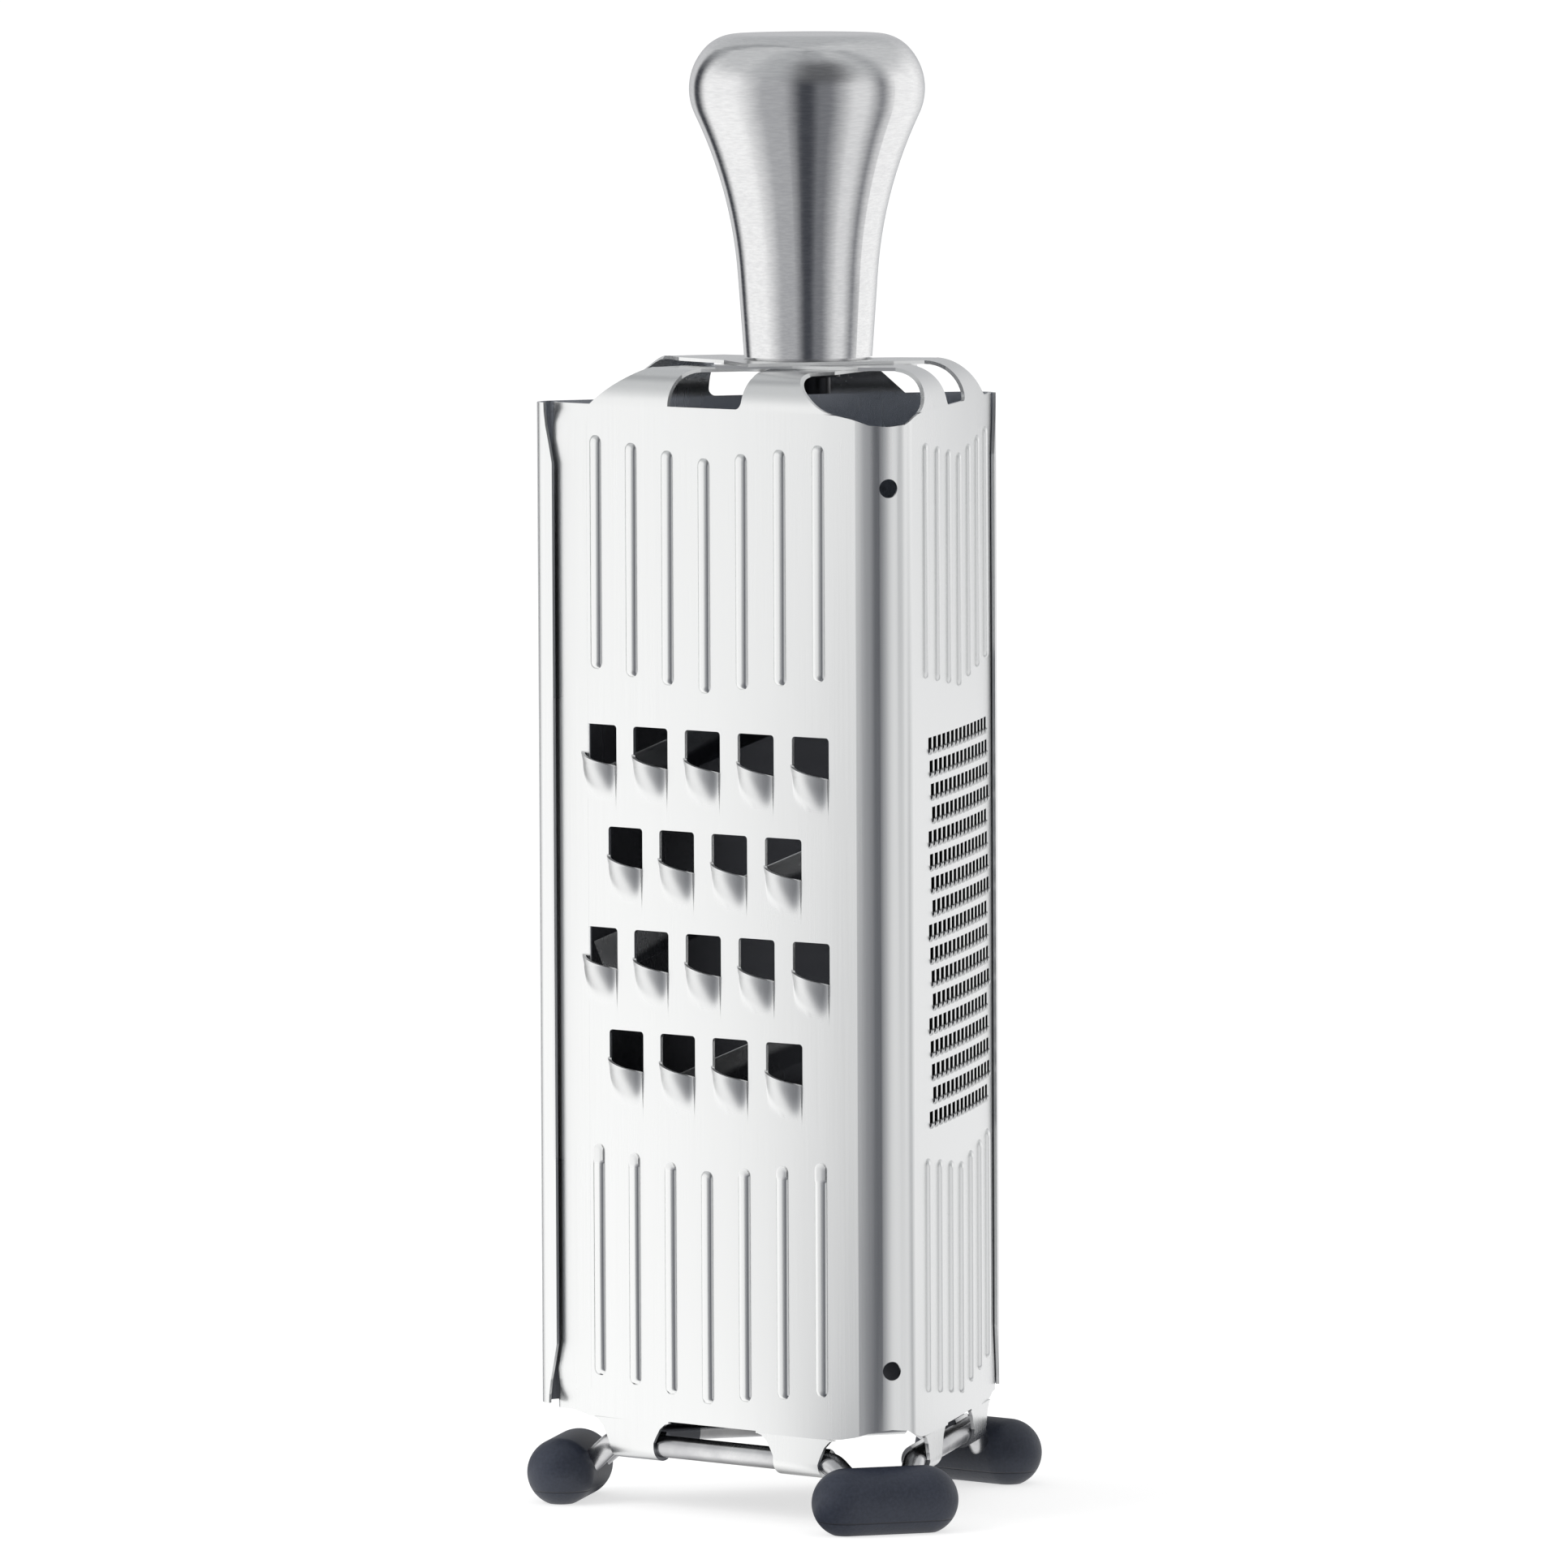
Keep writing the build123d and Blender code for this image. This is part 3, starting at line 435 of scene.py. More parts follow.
def foot_rubber(settings):
    """Matt dark blue rubber with a fine moulded tooth and a mould line near the sole, its crease
    darkened with painted shade.
    """
    material, board = new_board("Foot rubber")
    spot, (_, _, z) = board.place()
    line = board.between(z, *MOULD_LINE, 0.0002)
    tooth = board.noise(spot, scale=1500.0, detail=2.0)
    cloud = board.noise(spot, scale=60.0, detail=4.0)
    colour = board.tint((tooth * 0.5 + cloud * 0.5).step(0.3, 0.75),
                        settings.rubber_dark, settings.rubber_light)
    # Painted shade: the mould line's crease is darkened in colour as well as pressed in by the bump
    colour = board.tint(line * 0.7, colour, (0.006, 0.007, 0.012))
    rough = settings.rubber_rough + tooth * 0.1 - 0.05
    board.finish_plain(colour, rough, metallic=0.0, Normal=board.bump(tooth * 0.4 - line, 0.00025, 0.6))
    return material


def core_metal(settings):
    """The light alloy of the hidden plug."""
    material, board = new_board("Plug alloy")
    spot, _ = board.place()
    marks = board.noise(spot, scale=120.0)
    colour = board.tint(marks, settings.wire_dark, settings.wire_light)
    board.finish_plain(colour, settings.wire_rough)
    return material


def dress(nodes, material):
    """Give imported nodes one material."""
    for node in nodes:
        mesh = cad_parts[node].data
        mesh.materials.clear()
        mesh.materials.append(material)


# Surfaces

def on_face(face, run, out, level):
    """Points at a run along a face, a distance out of it and a height.

    With a = run / R and o the face's distance from the axis, a point of the first face stands at
    x = (R + out) sin a, y = R - o - (R + out) cos a from the axis; the others are turned round it.
    """
    turn = run / FACE_RADIUS
    x = (FACE_RADIUS + out) * np.sin(turn)
    y = FACE_BACK - (FACE_RADIUS + out) * np.cos(turn)
    cos, sin = math.cos(face * FACE_TURN), math.sin(face * FACE_TURN)
    return np.stack([x * cos - y * sin + AXIS[0], x * sin + y * cos + AXIS[1], level], axis=-1)


def grid_border(rows, columns):
    """Indices round the edge of a grid, in order."""
    index = np.arange(rows * columns).reshape(rows, columns)
    return np.concatenate([index[0, :-1], index[:-1, -1], index[-1, :0:-1], index[:0:-1, 0]])


def shell_faces(copies, rows, columns):
    """Quads of many closed shells, each an outer grid, an inner grid and the rim between them.

    Vertex v of copy c stands at 2 n c + v in the outer grid and at 2 n c + n + v in the inner
    one, where n = rows * columns.
    """
    count = rows * columns
    index = np.arange(count).reshape(rows, columns)
    quads = np.stack([index[:-1, :-1], index[1:, :-1], index[1:, 1:], index[:-1, 1:]], axis=-1)
    quads = quads.reshape(-1, 4)
    edge = grid_border(rows, columns)
    after = np.roll(edge, -1)
    rim = np.stack([edge, after, after + count, edge + count], axis=-1)
    one = np.concatenate([quads, quads[:, ::-1] + count, rim])
    return (one[None] + 2 * count * np.arange(copies)[:, None, None]).reshape(-1, 4)


def enclosed(points, faces):
    """Six times the volume inside the quads: the sum of their corner products."""
    a, b, c, d = [points[faces[:, place]] for place in range(4)]
    return float(np.sum(np.cross(a, b) * c) + np.sum(np.cross(a, c) * d))


def shell_object(name, outer, inner, sharp, painted_shade_columns=0):
    """One object from grids of many shells, its faces outwards and its edges sharp over an angle.

    The first columns of each outer grid, as many as asked, take the object's second material, which
    paints shade on them.
    """
    copies, rows, columns = outer.shape[:3]
    points = np.stack([outer.reshape(copies, -1, 3), inner.reshape(copies, -1, 3)], axis=1)
    points = points.reshape(-1, 3)
    faces = shell_faces(copies, rows, columns)
    if enclosed(points - points.mean(axis=0), faces) < 0:
        faces = faces[:, ::-1]
    mesh = bpy.data.meshes.new(name)
    mesh.from_pydata(points.tolist(), [], faces.tolist())
    mesh.polygons.foreach_set("use_smooth", np.ones(len(faces), dtype=bool))
    mesh.set_sharp_from_angle(angle=sharp)
    # Painted shade: the first columns of each outer grid take the second, near-black material
    painted_shade_flank = np.zeros((copies, len(faces) // copies), dtype=np.int32)
    cells = (rows - 1) * (columns - 1)
    painted_shade_flank[:, :cells] = np.tile(np.arange(columns - 1) < painted_shade_columns, rows - 1)
    mesh.polygons.foreach_set("material_index", painted_shade_flank.ravel())
    made = bpy.data.objects.new(name, mesh)
    bpy.context.scene.collection.objects.link(made)
    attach(made, "root")
    return made


def scoop_grids(teeth, face, runs, tops, width, rise, length, rim, columns, rows, power):
    """Outer and inner grids of scoops below openings.

    Across, the section is a circle's arc of half width h and rise r: out = sqrt(R^2 - x^2) - R + r
    with R = (h^2 + r^2) / 2r. Down, with t from 0 at the rim to 1 at the foot,
    r = rise (1 - t^2)^power.
    """
    side = np.linspace(-1.0, 1.0, columns)[None, None, :]
    down = np.linspace(0.0, 1.0, rows)[None, :, None]
    half = width / 2
    high = np.maximum(rise * (1 - down ** 2) ** power, rise * 0.004)
    radius = (half ** 2 + high ** 2) / (2 * high)
    out = np.sqrt(np.maximum(radius ** 2 - (side * half) ** 2, 0)) - radius + high
    border = (np.abs(side) > 0.999) | (down > 0.999)
    out = np.where(border, -teeth.skin, out) + 0 * tops[:, None, None]
    run = side * half + runs[:, None, None] + 0 * out
    level = tops[:, None, None] - rim(side) - down * length + 0 * out
    return on_face(face, run, out, level), on_face(face, run, out - teeth.skin, level)


def fine_scoops(teeth):
    """Grids of the small notched scoops under every fine slot, row by row."""
    row, place = np.meshgrid(np.arange(teeth.rows), np.arange(teeth.count), indexing="ij")
    runs = (place - (teeth.count - 1) / 2) * teeth.pitch + teeth.shift + (row % 4) * teeth.shift_step
    tops = teeth.top - row * teeth.row_pitch - teeth.slot_height

    def rim(side):
        return teeth.jag * (0.5 - 0.5 * np.cos(side * 3 * math.pi)) - 0.3 * teeth.jag

    return scoop_grids(teeth, 1, runs.ravel(), tops.ravel(), teeth.slot_width, teeth.rise,
                       teeth.length, rim, 7, 4, 1.0)


def coarse_scoops(teeth):
    """Grids of the skins over the coarse scoops: rows of five and four in turn, slanted rims."""
    places = [np.arange(count) - (count - 1) / 2 for count in COARSE_ROWS]
    runs = np.concatenate(places) * teeth.coarse_pitch
    rows = np.repeat(np.arange(len(COARSE_ROWS)), COARSE_ROWS)
    tops = teeth.coarse_top - rows * teeth.coarse_row_pitch
    middle = (teeth.coarse_left + teeth.coarse_right) / 2

    def rim(side):
        return middle + side * (teeth.coarse_right - teeth.coarse_left) / 2

    return scoop_grids(teeth, 0, runs + teeth.coarse_shift, tops, teeth.coarse_width, teeth.coarse_rise,
                       teeth.coarse_length, rim, 33, 25, 2.0)


def eased(value, low, high):
    """3 t^2 - 2 t^3 for t from 0 at low to 1 at high."""
    share = np.clip((value - low) / (high - low), 0.0, 1.0)
    return share * share * (3 - 2 * share)


def rib_group(teeth, shift, base):
    """Runs, tops and bases of a face's upper and lower ribs, stepped down towards its middle."""
    place = np.arange(RIBS) - RIBS // 2
    drop = teeth.rib_step * (RIBS // 2 - np.abs(place))
    runs = np.tile(place * teeth.rib_pitch + shift, 2)
    tops = np.concatenate([teeth.rib_top - drop, teeth.rib_low_top - drop])
    bases = np.concatenate([base - drop, teeth.rib_low_base - drop])
    return runs, tops, bases


def rib_skins(teeth):
    """Grids of the rounded skins over every rib.

    With d the distance from the rib's middle line over its half width, out = rise (1 - d^4). The
    middle line ends an inset short of the rib's top and base, and a round cap closes each end.
    """
    columns, cap_rows, inset = 13, 8, 0.001
    side = np.linspace(-1.0, 1.0, columns)[None, None, :]
    cap = np.linspace(0.0, 1.0, cap_rows)
    past = np.concatenate([1 - cap, cap])[None, :, None]
    way = np.repeat([1.0, -1.0], cap_rows)[None, :, None]
    outer, inner = [], []
    for face, (shift, base) in enumerate(zip(
            RIB_SHIFTS, (teeth.rib_base, teeth.rib_base, teeth.rib_rear_base))):
        runs, tops, bases = rib_group(teeth, shift, base)
        ends = np.stack([tops - inset, bases + inset], axis=1)
        middle = np.repeat(ends, cap_rows, axis=1)[:, :, None]
        level = middle + way * past * teeth.rib_half + 0 * side
        near = np.clip(1 - (side ** 2 + past ** 2) ** 2, 0.0, 1.0)
        out = np.where(near > 0, teeth.rib_rise * near, -teeth.skin) + 0 * level
        run = runs[:, None, None] + side * teeth.rib_half + 0 * level
        outer.append(on_face(face, run, out, level))
        inner.append(on_face(face, run, out - teeth.skin, level))
    return np.concatenate(outer), np.concatenate(inner)


def margin_skin(teeth):
    """Grid of the first face's far margin, which swells towards the lip that laps over it.

    With e an eased step from 0 to 1, out = rise e(-run) f, where f eases the swelling out at both ends.
    The border rows and the right-hand column go into the sheet.
    """
    (left, right), (low, high) = MARGIN_SIDES, MARGIN_HEIGHTS
    run = np.linspace(left, right, 25)[None, None, :]
    level = np.linspace(low, high, 60)[None, :, None]
    fade = eased(level, low, low + 0.0064) * (1 - eased(level, high - 0.0056, high))
    out = 0.00003 + teeth.margin_rise * eased(-run, 0.034, 0.0415) * fade
    border = (run > right - 0.0002) | (level < low + 0.0001) | (level > high - 0.0001)
    out = np.where(border, -teeth.skin, out)
    run, level = run + 0 * out, level + 0 * out
    return on_face(0, run, out, level), on_face(0, run, out - teeth.skin, level)


def slit_plates(teeth):
    """Grids of the strips of sheet that leave each slicing slot a narrow slit over its blade.

    A point u along the slot and v up from the blade's edge stands at run = shift + u cos t + v sin t
    and level = middle - u sin t + v cos t, where t is the slot's tilt.
    """
    along = np.linspace(-teeth.slice_length / 2, teeth.slice_length / 2, 61)[None, None, :]
    up = np.linspace(teeth.slit, teeth.slice_tall, 3)[None, :, None]
    level = teeth.slice_middle + (np.arange(SLICES) - SLICES // 2) * teeth.slice_pitch
    level = level[:, None, None]
    cos, sin = math.cos(teeth.slice_tilt), math.sin(teeth.slice_tilt)
    run = teeth.slice_shift + along * cos + up * sin + 0 * level
    height = level - along * sin + up * cos
    proud = 0.00002
    return on_face(2, run, proud + 0 * run, height), on_face(2, run, -SHEET - proud + 0 * run, height)


# What a user would change

class GraterFinish(bpy.types.PropertyGroup):
    """Colours and grain of the grater's metals and rubber."""

    steel_light: FloatVectorProperty(
        name="Sheet light", description="Lightest colour of the sheet steel",
        subtype="COLOR", size=3, min=0, max=1, default=(0.85, 0.855, 0.85))
    steel_dark: FloatVectorProperty(
        name="Sheet dark", description="Darkest colour of the sheet steel",
        subtype="COLOR", size=3, min=0, max=1, default=(0.8, 0.805, 0.8))
    inside_painted_shade: FloatVectorProperty(
        name="Sheet inside", description="Colour of the sheet's shaded inner side",
        subtype="COLOR", size=3, min=0, max=1, default=(0.15, 0.155, 0.17))
    inside_top_painted_light: FloatVectorProperty(
        name="Sheet inside, top", description="Colour of the inner side near the open top",
        subtype="COLOR", size=3, min=0, max=1, default=(0.7, 0.73, 0.78))
    slot_wall_painted_shade: FloatVectorProperty(
        name="Slot wall", description="Colour of the fine slots' shaded side walls",
        subtype="COLOR", size=3, min=0, max=1, default=(0.022, 0.023, 0.026))
    steel_rough: FloatProperty(
        name="Sheet roughness", description="Roughness of the satin sheet",
        min=0, max=1, default=0.26)
    grain_scale: FloatProperty(
        name="Grain scale", description="How many grain lines there are to a metre, about",
        min=100, max=9000, default=2600.0)
    grain_stretch: FloatProperty(
        name="Grain stretch", description="Share of the height by which the grain is drawn out",
        min=0.001, max=1, default=0.012)
    grain_depth: FloatProperty(
        name="Grain depth", description="Depth of the sheet's grain",
        subtype="DISTANCE", unit="LENGTH", min=0, max=0.001, default=0.00002)
    knob_light: FloatVectorProperty(
        name="Knob light", description="Lightest colour of the turned knob",
        subtype="COLOR", size=3, min=0, max=1, default=(0.87, 0.87, 0.865))
    knob_dark: FloatVectorProperty(
        name="Knob dark", description="Darkest colour of the turned knob",
        subtype="COLOR", size=3, min=0, max=1, default=(0.7, 0.7, 0.705))
    knob_rough: FloatProperty(
        name="Knob roughness", description="Roughness of the turned knob",
        min=0, max=1, default=0.15)
    ring_scale: FloatProperty(
        name="Ring scale", description="How many turning rings there are to a metre, about",
        min=100, max=9000, default=2600.0)
    ring_depth: FloatProperty(
        name="Ring depth", description="Depth of the turning rings",
        subtype="DISTANCE", unit="LENGTH", min=0, max=0.001, default=0.00003)
    wire_light: FloatVectorProperty(
        name="Wire light", description="Lightest colour of the wire",
        subtype="COLOR", size=3, min=0, max=1, default=(0.76, 0.76, 0.76))
    wire_dark: FloatVectorProperty(
        name="Wire dark", description="Darkest colour of the wire",
        subtype="COLOR", size=3, min=0, max=1, default=(0.52, 0.52, 0.53))
    wire_rough: FloatProperty(
        name="Wire roughness", description="Roughness of the wire",
        min=0, max=1, default=0.26)
    rubber_light: FloatVectorProperty(
        name="Rubber light", description="Lightest colour of the feet",
        subtype="COLOR", size=3, min=0, max=1, default=(0.034, 0.041, 0.063))
    rubber_dark: FloatVectorProperty(
        name="Rubber dark", description="Darkest colour of the feet",
        subtype="COLOR", size=3, min=0, max=1, default=(0.018, 0.023, 0.038))
    rubber_rough: FloatProperty(
        name="Rubber roughness", description="Roughness of the feet",
        min=0, max=1, default=0.5)


class GraterTeeth(bpy.types.PropertyGroup):
    """Places and sizes of the fine teeth, coarse scoops, slicing slots, ribs and swollen margin."""

    rows: IntProperty(
        name="Fine rows", description="Rows of fine teeth", min=1, max=40, default=17)
    count: IntProperty(
        name="Fine teeth in a row", description="Fine teeth in each row", min=1, max=40, default=15)
    pitch: FloatProperty(
        name="Fine pitch", description="From one fine tooth to the next",
        subtype="DISTANCE", unit="LENGTH", min=0.001, max=0.01, default=0.00406)
    row_pitch: FloatProperty(
        name="Fine row pitch", description="From one row of fine teeth to the next",
        subtype="DISTANCE", unit="LENGTH", min=0.001, max=0.02, default=0.00473)
    shift: FloatProperty(
        name="Fine shift", description="Sideways place of the first row",
        subtype="DISTANCE", unit="LENGTH", min=-0.02, max=0.02, default=0.0028)
    shift_step: FloatProperty(
        name="Fine shift step", description="Sideways step from a row to the next, four rows in turn",
        subtype="DISTANCE", unit="LENGTH", min=0, max=0.01, default=0.001)
    top: FloatProperty(
        name="Fine top", description="Height of the top of the first row's slots",
        subtype="DISTANCE", unit="LENGTH", min=0, max=1, default=0.1591)
    slot_height: FloatProperty(
        name="Slot height", description="Height of a fine slot",
        subtype="DISTANCE", unit="LENGTH", min=0.0005, max=0.01, default=0.0024)
    slot_width: FloatProperty(
        name="Slot width", description="Width of a fine slot",
        subtype="DISTANCE", unit="LENGTH", min=0.0005, max=0.01, default=0.00275)
    rise: FloatProperty(
        name="Tooth rise", description="How far a fine tooth's edge stands out of the face",
        subtype="DISTANCE", unit="LENGTH", min=0.0001, max=0.002, default=0.00055)
    length: FloatProperty(
        name="Tooth length", description="How far a fine tooth runs down from its slot",
        subtype="DISTANCE", unit="LENGTH", min=0.0005, max=0.004, default=0.0011)
    jag: FloatProperty(
        name="Tooth notch", description="Depth of the notches in a fine tooth's edge",
        subtype="DISTANCE", unit="LENGTH", min=0, max=0.002, default=0.00035)
    coarse_pitch: FloatProperty(
        name="Coarse pitch", description="From one coarse tooth to the next",
        subtype="DISTANCE", unit="LENGTH", min=0.005, max=0.05, default=0.01445)
    coarse_row_pitch: FloatProperty(
        name="Coarse row pitch", description="From one row of coarse teeth to the next",
        subtype="DISTANCE", unit="LENGTH", min=0.005, max=0.05, default=0.0207)
    coarse_shift: FloatProperty(
        name="Coarse shift", description="Sideways place of the coarse teeth",
        subtype="DISTANCE", unit="LENGTH", min=-0.02, max=0.02, default=-0.0016)
    coarse_top: FloatProperty(
        name="Coarse top", description="Height of the top of the first row's openings",
        subtype="DISTANCE", unit="LENGTH", min=0, max=1, default=0.1599)
    coarse_width: FloatProperty(
        name="Scoop width", description="Width of a coarse scoop",
        subtype="DISTANCE", unit="LENGTH", min=0.002, max=0.02, default=0.0098)
    coarse_rise: FloatProperty(
        name="Scoop rise", description="How far a coarse scoop's rim stands out of the face",
        subtype="DISTANCE", unit="LENGTH", min=0.0005, max=0.005, default=0.00234)
    coarse_left: FloatProperty(
        name="Rim's left end", description="From an opening's top down to its rim at the left",
        subtype="DISTANCE", unit="LENGTH", min=0.001, max=0.02, default=0.0058)
    coarse_right: FloatProperty(
        name="Rim's right end", description="From an opening's top down to its rim at the right",
        subtype="DISTANCE", unit="LENGTH", min=0.001, max=0.02, default=0.0084)
    coarse_length: FloatProperty(
        name="Scoop length", description="How far a coarse scoop runs down from its rim",
        subtype="DISTANCE", unit="LENGTH", min=0.002, max=0.02, default=0.0098)
    slice_length: FloatProperty(
        name="Slicing slot length", description="Length of a slicing slot",
        subtype="DISTANCE", unit="LENGTH", min=0.01, max=0.1, default=0.0731)
    slice_tall: FloatProperty(
        name="Slicing slot top", description="From a blade's edge up to the top of its slot",
        subtype="DISTANCE", unit="LENGTH", min=0.001, max=0.01, default=0.00405)
    slit: FloatProperty(
        name="Slit", description="Height left open over a slicing blade",
        subtype="DISTANCE", unit="LENGTH", min=0.0001, max=0.005, default=0.0004)
    slice_middle: FloatProperty(
        name="Middle slot", description="Height of the middle slicing slot",
        subtype="DISTANCE", unit="LENGTH", min=0, max=1, default=0.1266)
    slice_pitch: FloatProperty(
        name="Slicing pitch", description="From one slicing slot to the next",
        subtype="DISTANCE", unit="LENGTH", min=0.005, max=0.1, default=0.0349)
    slice_shift: FloatProperty(
        name="Slicing shift", description="Sideways place of the slicing slots",
        subtype="DISTANCE", unit="LENGTH", min=-0.02, max=0.02, default=0.003)
    slice_tilt: FloatProperty(
        name="Slicing tilt", description="Lean of the slicing slots",
        subtype="ANGLE", unit="ROTATION", default=math.radians(20.8))
    rib_pitch: FloatProperty(
        name="Rib pitch", description="From one rib to the next",
        subtype="DISTANCE", unit="LENGTH", min=0.001, max=0.05, default=0.01015)
    rib_step: FloatProperty(
        name="Rib step", description="How much lower each rib ends than its outer neighbour",
        subtype="DISTANCE", unit="LENGTH", min=0, max=0.01, default=0.00121)
    rib_top: FloatProperty(
        name="Upper ribs' top", description="Height of the outer upper ribs' tops",
        subtype="DISTANCE", unit="LENGTH", min=0, max=1, default=0.2182)
    rib_base: FloatProperty(
        name="Upper ribs' base", description="Height of the outer upper ribs' lower ends",
        subtype="DISTANCE", unit="LENGTH", min=0, max=1, default=0.1716)
    rib_rear_base: FloatProperty(
        name="Rear ribs' base", description="Height of the rear face's upper ribs' lower ends",
        subtype="DISTANCE", unit="LENGTH", min=0, max=1, default=0.184)
    rib_low_top: FloatProperty(
        name="Lower ribs' top", description="Height of the outer lower ribs' tops",
        subtype="DISTANCE", unit="LENGTH", min=0, max=1, default=0.0737)
    rib_low_base: FloatProperty(
        name="Lower ribs' base", description="Height of the outer lower ribs' lower ends",
        subtype="DISTANCE", unit="LENGTH", min=0, max=1, default=0.0272)
    rib_half: FloatProperty(
        name="Rib half width", description="Half the width of a rib's rounded skin",
        subtype="DISTANCE", unit="LENGTH", min=0.0005, max=0.01, default=0.0016)
    rib_rise: FloatProperty(
        name="Rib rise", description="How far a rib's skin stands out of the face",
        subtype="DISTANCE", unit="LENGTH", min=0.0001, max=0.002, default=0.00063)
    margin_rise: FloatProperty(
        name="Margin swell", description="How far the first face swells under the rear sheet's lip",
        subtype="DISTANCE", unit="LENGTH", min=0, max=0.0016, default=0.0014)
    skin: FloatProperty(
        name="Skin", description="Thickness of a tooth's skin",
        subtype="DISTANCE", unit="LENGTH", min=0.00005, max=0.001, default=0.00025)


class GraterStage(bpy.types.PropertyGroup):
    """Camera, floor and light of the studio."""

    lens: FloatProperty(
        name="Lens", description="Camera lens in millimetres on a 36 mm sensor",
        min=20, max=600, default=360.08)
    azimuth: FloatProperty(
        name="Azimuth", description="Camera's turn round the tower's axis",
        subtype="ANGLE", unit="ROTATION", default=math.radians(42.174))
    elevation: FloatProperty(
        name="Elevation", description="Camera's angle above the floor",
        subtype="ANGLE", unit="ROTATION", default=math.radians(4.478))
    roll: FloatProperty(
        name="Roll", description="Camera's lean to one side",
        subtype="ANGLE", unit="ROTATION", default=math.radians(-0.266))
    distance: FloatProperty(
        name="Distance", description="From the aim point to the camera",
        subtype="DISTANCE", unit="LENGTH", min=0.5, max=10, default=3.1913)
    aim_side: FloatProperty(
        name="Aim to the side", description="How far right of the tower's axis the camera aims",
        subtype="DISTANCE", unit="LENGTH", min=-0.1, max=0.1, default=-0.005313)
    aim_height: FloatProperty(
        name="Aim height", description="Height of the aim point above the floor",
        subtype="DISTANCE", unit="LENGTH", min=0, max=1, default=0.147377)
    floor_size: FloatProperty(
        name="Floor size", description="Width of the floor",
        subtype="DISTANCE", unit="LENGTH", min=5, max=200, default=90.0)
    floor_lift: FloatProperty(
        name="Floor lift", description="Paleness added to the floor where the camera sees it",
        min=0, max=1, default=0.66)
    glow: FloatProperty(
        name="Screens", description="Strength of the screens that the metal sees",
        min=0, max=5, default=1.22)
    smudge: FloatProperty(
        name="Dark overhead", description="How dark the studio is high up on the camera's side",
        min=0, max=1, default=0.7)
    floor_colour: FloatVectorProperty(
        name="Floor colour", description="Colour of the floor",
        subtype="COLOR", size=3, min=0, max=1, default=(0.93, 0.93, 0.93))
    key_power: FloatProperty(
        name="Key light", description="Power of the large soft lamp, in watts",
        min=0, max=500, default=26.0)
    room_light: FloatProperty(
        name="Room light", description="Strength of the room's even light",
        min=0, max=2, default=0.8)


# Builders

class GRATER_OT_metals(bpy.types.Operator):
    """Give the sheets, knob, wire and fixings their steel"""

    bl_idname = "grater.metals"
    bl_label = "Metals"

    def execute(self, context):
        finish = context.scene.grater_finish
        steel = grained_steel(finish)
        dress(["front_sheet", "rear_sheet"], steel)
        dress(["knob"], turned_steel(finish))
        dress(["foot_ring"], plain_steel(finish))
        dress(["clamp_washer", "screw"], fixing_steel_and_painted_shade(finish))
        dress(["knob_core"], core_metal(finish))
        return {"FINISHED"}


class GRATER_OT_feet(bpy.types.Operator):
    """Give the three feet their rubber"""

    bl_idname = "grater.feet"
    bl_label = "Rubber feet"

    def execute(self, context):
        dress(["foot_front", "foot_rear", "foot_left"], foot_rubber(context.scene.grater_finish))
        return {"FINISHED"}


class GRATER_OT_teeth(bpy.types.Operator):
    """Add the fine teeth, coarse scoops, slit plates, rib skins and swollen margin"""

    bl_idname = "grater.teeth"
    bl_label = "Teeth"

    def execute(self, context):
        teeth = context.scene.grater_teeth
        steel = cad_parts["front_sheet"].data.materials[0]
        flat = grained_steel(context.scene.grater_finish, margin=True)
        # The second material is near-black painted shade on each fine tooth's left flank, beside its
        # opening
        shaded = fixing_steel_and_painted_shade(context.scene.grater_finish)
        for name, grids, sharp, painted_shade_columns, material in (
                ("fine_teeth", fine_scoops(teeth), 50.0, 1, steel),
                ("coarse_scoops", coarse_scoops(teeth), 40.0, 0, steel),
                ("slit_plates", slit_plates(teeth), 40.0, 0, steel),
                ("rib_skins", rib_skins(teeth), 60.0, 0, steel),
                ("margin_skin", margin_skin(teeth), 40.0, 0, flat)):
            made = shell_object(name, *grids, math.radians(sharp), painted_shade_columns)
            made.data.materials.append(material)
            made.data.materials.append(shaded)
        return {"FINISHED"}


def camera_axes(stage):
    """Unit vectors from the aim point to the camera, to the picture's right and to its top."""
    turn, rise = stage.azimuth, stage.elevation
    back = Vector((math.sin(turn) * math.cos(rise), -math.cos(turn) * math.cos(rise), math.sin(rise)))
    right = Vector((math.cos(turn), math.sin(turn), 0.0))
    up = back.cross(right)
    leaned_right = right * math.cos(stage.roll) + up * math.sin(stage.roll)
    leaned_up = up * math.cos(stage.roll) - right * math.sin(stage.roll)
    return back, right, leaned_right, leaned_up


def add_camera(stage):
    """The camera at the photograph's viewing angle."""
    data = bpy.data.cameras.new("Camera")
    data.sensor_width = 36.0
    data.lens = stage.lens
    data.clip_end = 200.0
    camera = bpy.data.objects.new("Camera", data)
    back, level_right, right, up = camera_axes(stage)
    aim = Vector((float(AXIS[0]), float(AXIS[1]), stage.aim_height)) + level_right * stage.aim_side
    spot = aim + back * stage.distance
    camera.matrix_world = Matrix.Translation(spot) @ Matrix((right, up, back)).transposed().to_4x4()
    bpy.context.scene.collection.objects.link(camera)
    bpy.context.scene.camera = camera


def studio_glow(board, east, north, stage, screens):
    """What the metal sees round it: soft bright screens with dark gaps between them."""
    turn = east.math("ARCTAN2", north * -1.0) - stage.azimuth
    share = (turn / (2 * math.pi) + 0.5).math("FRACT")
    stops = []
    for start, end, level in screens:
        colour = tuple((level + cool * (1 - level)) ** LEVEL_POWER for cool in COOL)
        stops += [((degrees + 180) / 360, (*colour, 1.0)) for degrees in sorted({start, end})]
    return board.node("ShaderNodeValToRGB", {"stops": stops}, {"Fac": share})


